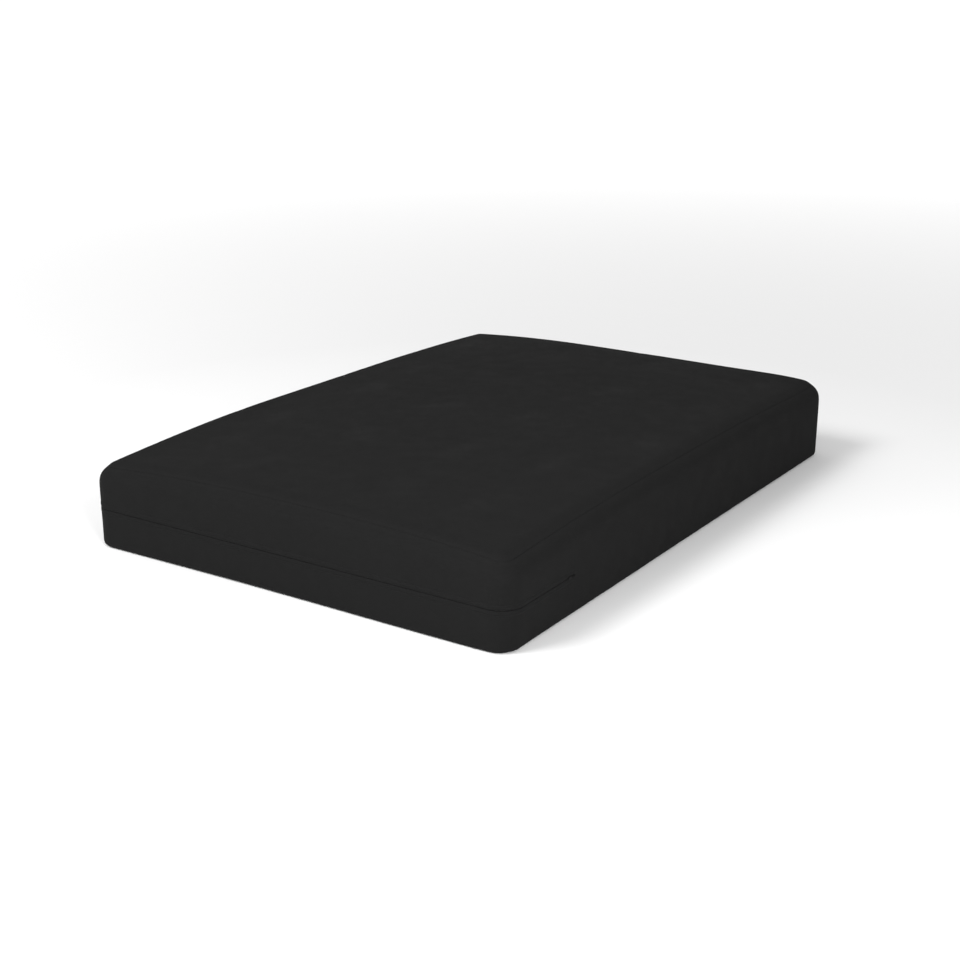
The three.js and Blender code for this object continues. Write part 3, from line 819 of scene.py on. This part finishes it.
def wall_place(t, height):
    """A point on the cover's plain side face, at a height over the zip line."""
    t, height = np.broadcast_arrays(t, height)
    plan, out = outline(t, 0)
    face = np.concatenate([plan, (ZIP_HEIGHT + height)[..., None]], -1)
    return face, np.concatenate([out, np.zeros_like(face[..., :1])], -1)


def zip_tape(name, material, side):
    t, walked = even_stations(*ZIPPED, 0.012)
    rows = side * (TAPE_EDGE + TAPE_WIDTH * np.linspace(0, 1, 9))
    face, out = wall_place(t[None], rows[:, None])
    points = face - out * TAPE_DEPTH
    uvs = np.stack(np.broadcast_arrays(walked[None], rows[:, None]), -1)
    return shell_mesh(name, points, uvs, TAPE_THICKNESS, material, flip=side > 0)


def zip_coil(name, material, side):
    """One half of the zip: a nylon wire wound in a flat spiral along the tape's edge."""
    t, walked = even_stations(*ZIP_RUN, COIL_PITCH / COIL_STEPS)
    turn = 2 * math.pi * walked / COIL_PITCH + (math.pi if side < 0 else 0)
    face, out = wall_place(t, 0 * t)
    up = np.array([0, 0, 1.0])
    middle = face - out * COIL_DEPTH + up * side * COIL_MIDDLE
    high, deep = COIL_REACH
    wire = middle + up * (high * np.cos(turn))[:, None] + out * (deep * np.sin(turn))[:, None]
    return wire_mesh(name, wire, COIL_WIRE, 5, walked, material)


def wire_mesh(name, path, radius, sides, walked, material):
    """A round wire along a path of points."""
    points, faces = tube(path, radius, sides)
    turn = np.linspace(0, 2 * math.pi, sides, endpoint=False)
    uvs = np.stack(np.broadcast_arrays(walked[:, None], turn * radius), -1)
    return make_mesh(name, points, faces, material, uvs)


ZIP_RUN = (
    -straight_parameter(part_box("zip_coil_upper_seat")[1].y),
    1 + straight_parameter(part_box("zip_coil_upper_back")[1].y),
)

# ---------------------------------------------------------------- the core's layers

TUFT_PULL = 0.0016
TICKING_THICKNESS = 0.0015
TICKING_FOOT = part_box("ticking_border_back")[0].z
TICKING_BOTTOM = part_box("ticking_bottom_back")[1].z
TICKING_AT_TUFT = 0.0024  # how far the ticking stands over its flat place under a tuft's pad
TICKING_HILL = 0.0048  # the same between the tufts
LAYER_INSET = SIDE_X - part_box("fibre_core_back")[1].x
LAYERS = {  # slot, and how rough the layer's faces and edges are
    "bottom_batting": ("cotton_batting", 0.0016, 0.011),
    "lower_foam_slab": ("foam", 0.0004, 0.004),
    "fibre_core": ("fibre", 0.0012, 0.009),
    "upper_foam_slab": ("foam", 0.0004, 0.004),
}


def from_tuft(x, y):
    """Distance to the nearest tuft."""
    return np.min([np.hypot(x - tx, y - ty) for tx, ty in tuft_places()], axis=0)


def ticking_top(material):
    x, y, _, _, distance = panel_grid(TICKING, 0.010)
    hill = 1 - np.exp(-((from_tuft(x, y) / 0.11) ** 2))
    rise = (TICKING_AT_TUFT + (TICKING_HILL - TICKING_AT_TUFT) * hill) * (1 - np.exp(-distance / 0.02))
    crease = 0.0005 * lattice(x, y, 0.018, 51) * (from_tuft(x, y) > 0.012)
    points = np.stack([x, y, top_height(TICKING, x, y) + rise + crease], -1)
    points = points + grid_normals(points) * (0.7 * groove(distance))[..., None]
    return shell_mesh("ticking_top", points, np.stack([x, y], -1), TICKING_THICKNESS, material)


def ticking_bottom(material):
    x, y, _, _, _ = panel_grid(TICKING, 0.016, lambda t: TICKING["side"] + 0.0006 + 0 * t)
    height = TICKING_BOTTOM - TICKING_THICKNESS + 0.0001 * (1 + lattice(x, y, 0.03, 53))
    points = np.stack([x, y, height], -1)
    return shell_mesh("ticking_bottom", points, np.stack([x, -y], -1), TICKING_THICKNESS, material, flip=True)


def ticking_border(material):
    t, walked = even_stations(0, 4, 0.010)
    full = upper_length(TICKING, t, TICKING_FOOT)
    length = row_lengths(full, (0, 0.0008, 0.002, 0.005), SEAM_ROWS, 0.012)
    t, walked = np.broadcast_to(t, length.shape), np.broadcast_to(walked, length.shape)
    points, normals = upper_wall(TICKING, t, length, TICKING_FOOT)
    relief = 0.7 * groove(full - length) + 0.0012 * lattice(walked, length, 0.04, 55) * (length > 0.01)
    points = points + normals * np.minimum(relief, 0.0006)[..., None]
    return shell_mesh("ticking_border", points, np.stack([walked, length], -1), TICKING_THICKNESS,
                      material, flip=True)


def layer(name, material, inset, low, high, edge_high, roughness, rounding):
    """A padded layer: its faces between a low height and a function of the place, its edge rounded
    and uneven. Tufts dimple it. It only ever lies inside those bounds."""
    s, t = side_fractions(4, 52), side_fractions(4, 76)
    plan = plan_patch(s, t, lambda place: inset + rounding + 0 * place)
    x, y = plan[..., 0], plan[..., 1]
    dimple = TUFT_PULL * np.exp(-((from_tuft(x, y) / 0.028) ** 2))
    worn = roughness * (1 + lattice(x, y, 0.024, 61)) / 2
    top = np.stack([x, y, high(x, y) - dimple - worn], -1)
    bottom = np.stack([x, y, low + dimple + worn], -1)
    stations = np.concatenate([s[:-1], 1 + t[:-1], 2 + s[:-1], 3 + t[:-1]])
    arc = np.linspace(0, math.pi / 2, 5)
    turns = np.concatenate([arc[:0:-1], np.zeros(4), arc[1:]])
    share = np.concatenate([np.zeros(4), np.linspace(0, 1, 4), np.ones(4)])[:, None]
    sway = roughness * (1 + lattice(stations[None] * 12, 2 * share + np.sin(turns)[:, None], 0.35, 63)) / 2
    ring, _ = outline(stations[None], inset + rounding * (1 - np.cos(turns))[:, None] + sway)
    fall = rounding * (1 - np.sin(turns))[:, None]
    z = (low + fall) * (1 - share) + (edge_high(ring[..., 0], ring[..., 1]) - fall) * share
    wall = np.concatenate([ring, z[..., None]], -1)[1:-1]
    points, faces, _, _ = closed_grid(top, bottom, wall)
    piece = make_mesh(name, points, faces, material)
    places = piece.data.attributes.new("rest_place", "FLOAT_VECTOR", "POINT")
    places.data.foreach_set("vector", points.astype(np.float32).ravel())
    return piece


def flat_layers(looks):
    made = []
    for name, (slot, roughness, rounding) in LAYERS.items():
        low, high = (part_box(f"{name}_back")[k].z for k in (0, 1))
        level = lambda x, y, high=high: high + 0 * x
        made.append(layer(name, looks[slot], LAYER_INSET, low, level, level, roughness, rounding))
    return made


def top_batting(material):
    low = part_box("top_batting_back")[0].z
    inset = float(seam_inset(TOP_BATTING)(0))
    high = lambda x, y: top_height(TOP_BATTING, x, y) - 0.0003
    return layer("top_batting", material, inset, low, high, high, 0.0016, 0.006)


# ---------------------------------------------------------------- tufts

TWINE_PLY = 0.0009
TWINE_LAY = 0.009  # length in which the twine's plies turn once
PAD_STEPS = (20, 7)


def tuft_piece(name, material):
    """One tuft: a three-ply twine through the core, a felt pad at each end and a knot on each pad."""
    low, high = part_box(name)
    x, y = (low.x + high.x) / 2, (low.y + high.y) / 2
    pad_radius = (high.x - low.x) / 2
    parts = [felt_pad(x, y, z, up, pad_radius) for z, up in ((high.z, 1), (low.z, -1))]
    z = np.linspace(low.z + 0.0008, high.z - 0.0008, 300)
    for ply in range(3):
        turn = 2 * math.pi * (z / TWINE_LAY + ply / 3)
        path = np.stack([x + TWINE_PLY * np.cos(turn), y + TWINE_PLY * np.sin(turn), z], -1)
        parts.append(tube(path, TWINE_PLY, 6))
    for z, up in ((high.z, 1), (low.z, -1)):
        parts.append(tube(knot(x, y, z - up * 0.0009), 0.00075, 6))
    return joined(name + "_tied", parts, material)


def felt_pad(x, y, face_z, up, radius):
    """Rings of a soft round pad, from the middle of its face over its edge to its underside."""
    around, steps = PAD_STEPS
    k = np.linspace(0, 1, steps)
    reach = np.concatenate([k * 0.93, [0.985, 1.0, 0.985], k[::-1] * 0.93])
    drop = np.concatenate([0.00055 * (1 - k) ** 2 + 0 * k, [0.0004, 0.0008, 0.0012], 0 * k + 0.0016])
    turn = np.linspace(0, 2 * math.pi, around, endpoint=False)
    ragged = 1 - 0.05 * (1 + lattice(turn / 3, turn * 0 + x, 0.2, 71)) / 2
    reach = np.maximum(reach, 0.02)[:, None] * ragged[None]
    px, py = x + radius * reach * np.cos(turn), y + radius * reach * np.sin(turn)
    z = np.broadcast_to((face_z - up * drop)[:, None], px.shape)
    points = np.stack([px, py, z], -1)
    faces = grid_faces(np.arange(points[..., 0].size).reshape(points.shape[:2]), wrap=True)
    return points.reshape(-1, 3), faces if up < 0 else faces[:, ::-1]


def knot(x, y, z):
    """The path of a flat overhand knot."""
    k = np.linspace(0, 2 * math.pi, 60)
    px = x + 0.0042 * (np.sin(k) + 1.3 * np.sin(2 * k)) / 2
    py = y + 0.0042 * (np.cos(k) - 1.3 * np.cos(2 * k)) / 2
    return np.stack([px, py, z - 0.00045 * np.sin(3 * k)], -1)


def tube(path, radius, sides):
    along = np.gradient(path, axis=0)
    along /= np.linalg.norm(along, axis=1, keepdims=True)
    helper = np.where(np.abs(along[:, 2:]) < 0.9, [[0, 0, 1.0]], [[1.0, 0, 0]])
    first = np.cross(along, helper)
    first /= np.linalg.norm(first, axis=1, keepdims=True)
    second = np.cross(along, first)
    turn = np.linspace(0, 2 * math.pi, sides, endpoint=False)
    ring = first[:, None] * np.cos(turn)[None, :, None] + second[:, None] * np.sin(turn)[None, :, None]
    points = (path[:, None] + ring * radius).reshape(-1, 3)
    return points, grid_faces(np.arange(len(path) * sides).reshape(-1, sides), wrap=True)


def joined(name, parts, material):
    """One piece out of several sets of points and faces."""
    starts = np.cumsum([0] + [len(points) for points, _ in parts[:-1]])
    points = np.concatenate([points for points, _ in parts])
    faces = np.concatenate([faces + start for (_, faces), start in zip(parts, starts)])
    piece = make_mesh(name, points, faces, material)
    places = piece.data.attributes.new("rest_place", "FLOAT_VECTOR", "POINT")
    places.data.foreach_set("vector", points.astype(np.float32).ravel())
    return piece


# ---------------------------------------------------------------- materials


class Look:
    """Writes one material's nodes."""

    def __init__(self, name, roughness, **constants):
        self.material = bpy.data.materials.new(name)
        self.material.use_nodes = True
        self.nodes = self.material.node_tree.nodes
        self.links = self.material.node_tree.links
        self.surface = self.nodes["Principled BSDF"]
        self.surface.inputs["Roughness"].default_value = roughness
        for key, value in constants.items():
            self.surface.inputs[key.replace("_", " ")].default_value = value

    def put(self, socket, value):
        if isinstance(value, bpy.types.NodeSocket):
            self.links.new(value, socket)
        else:
            socket.default_value = value

    def node(self, kind, inputs, **settings):
        made = self.nodes.new(kind)
        for key, value in settings.items():
            setattr(made, key, value)
        for key, value in inputs.items():
            self.put(made.inputs[key], value)
        return made

    def math(self, operation, a, b=0.0):
        return self.node("ShaderNodeMath", {0: a, 1: b}, operation=operation).outputs[0]

    def cloth_place(self):
        """Place on the flat cloth, in metres."""
        return self.node("ShaderNodeUVMap", {}, uv_map="cloth").outputs[0]

    def solid_place(self):
        """Place in the piece at rest, in metres."""
        return self.node("ShaderNodeAttribute", {}, attribute_name="rest_place").outputs["Vector"]

    def object_place(self):
        return self.node("ShaderNodeTexCoord", {}).outputs["Object"]

    def noise(self, place, size, detail=2.0, stretch=(1, 1, 1)):
        scaled = self.node("ShaderNodeMapping", {"Vector": place, "Scale": stretch}).outputs[0]
        inputs = {"Vector": scaled, "Scale": 1 / size, "Detail": detail}
        return self.node("ShaderNodeTexNoise", inputs).outputs[0]

    def cells(self, place, size, feature="F1"):
        inputs = {"Vector": place, "Scale": 1 / size}
        return self.node("ShaderNodeTexVoronoi", inputs, feature=feature).outputs["Distance"]

    def split(self, place):
        return self.node("ShaderNodeSeparateXYZ", {0: place}).outputs

    def ridge(self, value, pitch):
        """A row of rounded ridges, from 0 to 1, one for each pitch."""
        return self.math("ABSOLUTE", self.math("SINE", self.math("MULTIPLY", value, math.pi / pitch)))

    def shade(self, share, dark, light):
        """A colour between two, by a share from 0 to 1."""
        inputs = {0: share, 6: (*dark, 1), 7: (*light, 1)}
        return self.node("ShaderNodeMix", inputs, data_type="RGBA").outputs[2]

    def spread(self, value, low, high, to_low=0.0, to_high=1.0):
        """Maps a value's range to another and keeps it inside."""
        inputs = {0: value, 1: low, 2: high, 3: to_low, 4: to_high}
        return self.node("ShaderNodeMapRange", inputs).outputs[0]

    def bump(self, height, distance, strength=1.0, under=None):
        inputs = {"Height": height, "Distance": distance, "Strength": strength}
        if under is not None:
            inputs["Normal"] = under
        return self.node("ShaderNodeBump", inputs).outputs[0]

    def finish(self, color, normal, roughness=None):
        self.put(self.surface.inputs["Base Color"], color)
        self.put(self.surface.inputs["Normal"], normal)
        if roughness is not None:
            self.put(self.surface.inputs["Roughness"], roughness)
        return self.material


def woven(look, place, pitch):
    """Height of a plain weave: over-and-under threads, with thicker slubs here and there."""
    u, v = look.split(place)[:2]
    warp, weft = look.ridge(u, pitch), look.ridge(v, pitch)
    over = look.math("MULTIPLY", look.math("SINE", look.math("MULTIPLY", u, math.pi / pitch)),
                     look.math("SINE", look.math("MULTIPLY", v, math.pi / pitch)))
    crossing = look.math("MULTIPLY", over, 0.35)
    threads = look.math("MULTIPLY", look.math("ADD", warp, weft), 0.5)
    slubs = look.noise(place, 0.004, 1.0, (0.15, 1, 1))
    return look.math("ADD", look.math("ADD", threads, crossing), look.math("MULTIPLY", slubs, 0.8))


def twill(look, place, pitch):
    """Height of a twill whose diagonal turns back at each stripe, as in a herringbone tape."""
    u, v = look.split(place)[:2]
    stripe = look.math("PINGPONG", v, 0.005)
    return look.ridge(look.math("ADD", u, stripe), pitch)


def cover_cloth():
    look = Look("cover_fabric", 0.9, Sheen_Weight=0.008, Sheen_Roughness=0.5, Specular_IOR_Level=0.03)
    place = look.cloth_place()
    weave = woven(look, place, 0.0011)
    tone = look.spread(look.noise(place, 0.22, 3.0), 0.35, 0.65)
    # lightened where the cloth is marked: rubbed wear with painted highlight beside the seams, and painted
    # sheen patches on the top
    worn = look.node("ShaderNodeAttribute", {}, attribute_name="wear_and_painted_highlight").outputs["Fac"]
    fleck = look.spread(look.noise(place, 0.0023, 2.0), 0.3, 0.8)
    base = look.shade(tone, COVER_DARK, COVER_LIGHT)
    flecked = look.node("ShaderNodeMix", {0: look.math("MULTIPLY", fleck, 0.35), 6: base,
                                          7: (*COVER_FLECK, 1)}, data_type="RGBA").outputs[2]
    wear_and_highlight_color = look.node("ShaderNodeMix", {0: worn, 6: flecked, 7: (*COVER_WEAR_AND_HIGHLIGHT, 1)},
                             data_type="RGBA").outputs[2]
    creases = look.bump(look.noise(place, 0.035, 3.0), 0.00003, 0.5)
    # painted shade: the cloth is darker in the crevices between its threads
    between = look.spread(weave, 0.35, 1.1, 0.4, 0.0)
    threads = look.node("ShaderNodeMix", {0: between, 6: wear_and_highlight_color, 7: (*COVER_CREVICE_SHADE, 1)},
                        data_type="RGBA").outputs[2]
    normal = look.bump(weave, 0.0004, 0.8, creases)
    roughness = look.spread(look.noise(place, 0.06, 2.0), 0.3, 0.7, 0.82, 0.92)
    return look.finish(threads, normal, roughness)


def tape_cloth():
    look = Look("zip_tape", 0.88, Sheen_Weight=0.02, Specular_IOR_Level=0.1)
    place = look.cloth_place()
    tone = look.spread(look.noise(place, 0.02), 0.3, 0.7)
    color = look.shade(tone, (0.010, 0.010, 0.010), (0.017, 0.017, 0.017))
    return look.finish(color, look.bump(twill(look, place, 0.0012), 0.00015, 0.7))


def coil_nylon():
    look = Look("zip_coil", 0.38, Specular_IOR_Level=0.4)
    place = look.cloth_place()
    tone = look.spread(look.noise(place, 0.01), 0.3, 0.7)
    color = look.shade(tone, (0.009, 0.009, 0.009), (0.015, 0.015, 0.016))
    return look.finish(color, look.bump(look.noise(place, 0.0008), 0.00003, 0.5),
                       look.spread(look.noise(place, 0.004), 0.3, 0.7, 0.32, 0.5))


def painted_metal():
    """Black-painted metal with its paint worn thin in places."""
    look = Look("zip_metal", 0.55, Specular_IOR_Level=0.06)
    place = look.object_place()
    rubbed_share = look.spread(look.noise(place, 0.0022, 4.0), 0.62, 0.78)
    paint = look.shade(rubbed_share, (0.006, 0.006, 0.006), (0.022, 0.021, 0.020))
    return look.finish(paint, look.bump(look.noise(place, 0.0006, 3.0), 0.00004, 0.5),
                       look.spread(look.noise(place, 0.003), 0.3, 0.7, 0.46, 0.6))


def thread():
    look = Look("cover_thread", 0.75, Sheen_Weight=0.02, Specular_IOR_Level=0.12)
    place = look.cloth_place()
    u, v = look.split(place)[:2]
    twist = look.ridge(look.math("ADD", u, look.math("MULTIPLY", v, 1.4)), 0.0005)
    # painted shade: the thread is darker in the hollows of its twist
    return look.finish(look.shade(twist, (0.014, 0.014, 0.014), (0.024, 0.024, 0.024)),
                       look.bump(twist, 0.00006, 0.8))


def ticking_cloth():
    """Natural cotton in a herringbone weave, with cream stripes and flecks of husk."""
    look = Look("ticking", 0.9, Sheen_Weight=0.15, Sheen_Roughness=0.5, Specular_IOR_Level=0.2)
    place = look.cloth_place()
    stripe = look.spread(look.math("PINGPONG", look.split(place)[0], 0.02), 0.0085, 0.0095)
    ground = look.shade(stripe, (0.62, 0.57, 0.46), (0.70, 0.66, 0.56))
    tone = look.spread(look.noise(place, 0.15, 3.0), 0.3, 0.7)
    toned = look.node("ShaderNodeMix", {0: look.math("MULTIPLY", tone, 0.4), 6: ground,
                                        7: (0.60, 0.53, 0.40, 1)}, data_type="RGBA").outputs[2]
    husk = look.spread(look.cells(place, 0.012), 0.03, 0.08, 0.5, 0.0)
    flecked = look.node("ShaderNodeMix", {0: husk, 6: toned, 7: (0.34, 0.25, 0.14, 1)}, data_type="RGBA")
    creases = look.bump(look.noise(place, 0.03), 0.001, 0.4)
    normal = look.bump(twill(look, place, 0.0016), 0.0002, 0.7, creases)
    return look.finish(flecked.outputs[2], normal, look.spread(tone, 0, 1, 0.86, 0.94))


def fleece(name, dark, light, tuft, strand):
    """Loose fibres: soft clumps with finer strands over them."""
    look = Look(name, 0.95, Sheen_Weight=0.35, Sheen_Roughness=0.6, Specular_IOR_Level=0.1)
    place = look.solid_place()
    clumps = look.noise(place, tuft, 5.0)
    strands = look.noise(place, strand, 3.0, (0.25, 1, 2.5))
    mixed = look.math("ADD", look.math("MULTIPLY", clumps, 0.6), look.math("MULTIPLY", strands, 0.4))
    color = look.shade(look.spread(mixed, 0.35, 0.62), dark, light)
    normal = look.bump(strands, 0.0012, 0.8, look.bump(clumps, 0.003, 0.7))
    return look.finish(color, normal, look.spread(clumps, 0.3, 0.7, 0.9, 1.0))


def open_foam():
    """Cut foam: fine open cells with a few larger ones, yellowed unevenly, with painted shade down in the
    pores.
    """
    look = Look("foam", 0.9, Sheen_Weight=0.1, Specular_IOR_Level=0.2, Subsurface_Weight=0.08)
    look.surface.inputs["Subsurface Radius"].default_value = (0.004, 0.003, 0.002)
    place = look.solid_place()
    fine = look.cells(place, 0.0016)
    large = look.cells(place, 0.009)
    pores = look.math("ADD", look.spread(fine, 0.0, 0.5), look.spread(large, 0.0, 0.25, 0.0, 0.6))
    tone = look.spread(look.noise(place, 0.12, 3.0), 0.3, 0.7)
    ground = look.shade(tone, (0.74, 0.63, 0.34), (0.84, 0.76, 0.50))
    # painted shade: darker down in the pores
    dark = look.spread(pores, 0.1, 0.7, 0.5, 0.0)
    color = look.node("ShaderNodeMix", {0: dark, 6: ground, 7: (0.42, 0.33, 0.15, 1)}, data_type="RGBA")
    return look.finish(color.outputs[2], look.bump(pores, 0.0006, 0.7), look.spread(tone, 0, 1, 0.85, 0.95))


def cotton_twine():
    look = Look("tuft_twine", 0.9, Sheen_Weight=0.25, Sheen_Roughness=0.5, Specular_IOR_Level=0.15)
    place = look.solid_place()
    fibres = look.noise(place, 0.0009, 3.0, (1, 1, 0.4))
    tone = look.spread(look.noise(place, 0.006), 0.3, 0.7)
    color = look.shade(look.math("MULTIPLY", tone, fibres), (0.66, 0.60, 0.48), (0.86, 0.82, 0.72))
    return look.finish(color, look.bump(fibres, 0.0003, 0.8), look.spread(fibres, 0.3, 0.7, 0.85, 0.95))


# painted shade between the threads
COVER_CREVICE_SHADE = (0.006, 0.006, 0.006)
COVER_DARK = (0.0126, 0.0126, 0.0126)
COVER_LIGHT = (0.0129, 0.0129, 0.0129)
COVER_FLECK = (0.0150, 0.0150, 0.0150)
# colour of that lightening: rubbed wear, painted highlight and painted sheen
COVER_WEAR_AND_HIGHLIGHT = (0.0172, 0.0172, 0.0172)

# ---------------------------------------------------------------- camera, light and floor

CAMERA_PLACE = (2.4605, -3.7789, 1.5678)
CAMERA_TARGET = (0.1328, -0.2473, 0.1156)
CAMERA_LENS = 57.957

STUDIO_DIM_SIDE = 0.6
STUDIO_DIM_TOP = 0.8
STUDIO_STRENGTH = 0.72
KEY_PLACE = (-3.0, -5.6, 6.4)
KEY_SIZE = 3.5
KEY_POWER = 480
FILL_PLACE = (3.0, -2.7, 2.2)
FILL_SIZE = 1.2
FILL_POWER = 98
KICKER_PLACE = (-2.0, -3.0, 1.5)
KICKER_SIZE = 0.8
KICKER_POWER = 7
FLOOR_GLOW = (2.0, 9.0, 0.04, 0.6)  # from one distance to another, and the glow at each


def add_camera():
    camera = bpy.data.objects.new("camera", bpy.data.cameras.new("camera"))
    bpy.context.scene.collection.objects.link(camera)
    camera.data.sensor_width = 36
    camera.data.lens = CAMERA_LENS
    camera.location = CAMERA_PLACE
    aim = Vector(CAMERA_TARGET) - Vector(CAMERA_PLACE)
    camera.rotation_euler = aim.to_track_quat("-Z", "Y").to_euler()
    bpy.context.scene.camera = camera


def add_area(name, place, target, size, power):
    light = bpy.data.objects.new(name, bpy.data.lights.new(name, "AREA"))
    bpy.context.scene.collection.objects.link(light)
    light.data.shape = "RECTANGLE"
    light.data.size, light.data.size_y = size
    light.data.energy = power
    light.location = place
    aim = Vector(target) - Vector(place)
    light.rotation_euler = aim.to_track_quat("-Z", "Y").to_euler()
    return light


def add_floor():
    mesh = bpy.data.meshes.new("floor")
    reach = 300
    mesh.from_pydata([(-reach, -reach, 0), (reach, -reach, 0), (reach, reach, 0), (-reach, reach, 0)],
                     [], [(0, 1, 2, 3)])
    floor = bpy.data.objects.new("floor", mesh)
    bpy.context.scene.collection.objects.link(floor)
    look = Look("floor", 0.9, Specular_IOR_Level=0.2)
    look.surface.inputs["Base Color"].default_value = (0.9, 0.9, 0.9, 1)
    look.surface.inputs["Emission Color"].default_value = (1, 1, 1, 1)
    away = look.node("ShaderNodeVectorMath", {0: look.object_place()}, operation="LENGTH").outputs["Value"]
    look.put(look.surface.inputs["Emission Strength"], look.spread(away, *FLOOR_GLOW))
    mesh.materials.append(look.material)
    floor.location.z = -0.001
    floor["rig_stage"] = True


def add_light():
    """A pale studio, dimmer overhead and towards +X, with a soft key from the front left and a fill."""
    world = bpy.data.worlds.new("studio")
    world.use_nodes = True
    nodes, links = world.node_tree.nodes, world.node_tree.links
    direction = nodes.new("ShaderNodeTexCoord").outputs["Generated"]
    split = nodes.new("ShaderNodeSeparateXYZ")
    links.new(direction, split.inputs[0])
    shares = []
    for part, start, end, dim in ((0, -0.3, 0.8, STUDIO_DIM_SIDE), (2, 0.1, 0.9, STUDIO_DIM_TOP)):
        share = nodes.new("ShaderNodeMapRange")
        share.interpolation_type = "SMOOTHSTEP"
        for index, value in {1: start, 2: end, 3: 1, 4: dim}.items():
            share.inputs[index].default_value = value
        links.new(split.outputs[part], share.inputs[0])
        shares.append(share.outputs[0])
    strength = nodes.new("ShaderNodeMath")
    strength.operation = "MULTIPLY"
    links.new(shares[0], strength.inputs[0])
    links.new(shares[1], strength.inputs[1])
    background = nodes["Background"]
    background.inputs["Color"].default_value = (STUDIO_STRENGTH,) * 3 + (1,)
    links.new(strength.outputs[0], background.inputs["Strength"])
    bpy.context.scene.world = world
    add_area("key", KEY_PLACE, (-0.3, -0.6, 0.15), (KEY_SIZE, KEY_SIZE), KEY_POWER)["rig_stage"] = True
    add_area("kicker", KICKER_PLACE, (-0.6, -0.9, 0.2), (KICKER_SIZE,) * 2, KICKER_POWER)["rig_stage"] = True
    add_area("fill", FILL_PLACE, (0.6, -0.8, 0.12), (FILL_SIZE, FILL_SIZE), FILL_POWER)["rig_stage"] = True


def set_view():
    bpy.context.scene.view_settings.view_transform = "Standard"
    bpy.context.scene.view_settings.look = "None"


# ---------------------------------------------------------------- build

BENDING = (  # layers and panels that cross the fold line, each with its material slot
    ("cover_top_panel", "cover_fabric"), ("cover_bottom_panel", "cover_fabric"),
    ("zip_boxing_upper", "cover_fabric"), ("zip_boxing_lower", "cover_fabric"),
    ("plain_boxing", "cover_fabric"), ("zip_tape_upper", "zip_tape"), ("zip_tape_lower", "zip_tape"),
    ("zip_coil_upper", "zip_coil"), ("zip_coil_lower", "zip_coil"), ("ticking_top", "ticking"),
    ("ticking_border", "ticking"), ("ticking_bottom", "ticking"), ("top_batting", "cotton_batting"),
    ("bottom_batting", "cotton_batting"), ("lower_foam_slab", "foam"), ("upper_foam_slab", "foam"),
    ("fibre_core", "fibre"),
)
METAL = ("zip_slider", "zip_pull", "zip_bottom_stop", "zip_top_stop_upper", "zip_top_stop_lower")


def build_cover():
    cloth = cover_cloth()
    top_panel(cloth)
    bottom_panel(cloth)
    cover_sides(cloth)
    stitches = thread()
    for name, side in (("zip_topstitch_upper", 1), ("zip_topstitch_lower", -1)):
        row = topstitching(name, stitches, side)
        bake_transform(row)


def build_zip():
    tape, nylon, metal = tape_cloth(), coil_nylon(), painted_metal()
    for name, side in (("upper", 1), ("lower", -1)):
        zip_tape(f"zip_tape_{name}", tape, side)
        zip_coil(f"zip_coil_{name}", nylon, side)
    for name in METAL:
        node = frame["nodes"][name]
        node.data.materials.clear()
        node.data.materials.append(metal)
        bevel = node.modifiers.new("bevel", "BEVEL")
        bevel.width = 0.00018
        bevel.segments = 2
        bevel.limit_method = "ANGLE"


def build_core():
    ticking = ticking_cloth()
    ticking_top(ticking)
    ticking_border(ticking)
    ticking_bottom(ticking)
    looks = {
        "cotton_batting": fleece("cotton_batting", (0.66, 0.61, 0.49), (0.84, 0.81, 0.72), 0.018, 0.003),
        "fibre": fleece("fibre", (0.78, 0.78, 0.75), (0.90, 0.90, 0.88), 0.012, 0.0018),
        "foam": open_foam(),
    }
    top_batting(looks["cotton_batting"])
    flat_layers(looks)
    twine = cotton_twine()
    for name in TUFTS:
        tied = tuft_piece(name, twine)
        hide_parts(name)
        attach(tied, frame["nodes"][name]["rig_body"])


puff = Puff()
set_view()
build_cover()
build_zip()
build_core()
for name, slot in BENDING:
    stands_for(bpy.data.objects[name], name)
add_camera()
add_light()
add_floor()

low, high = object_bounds()
sizes = {"cad": [list(cad_low), list(cad_high)], "visual": [list(low), list(high)]}
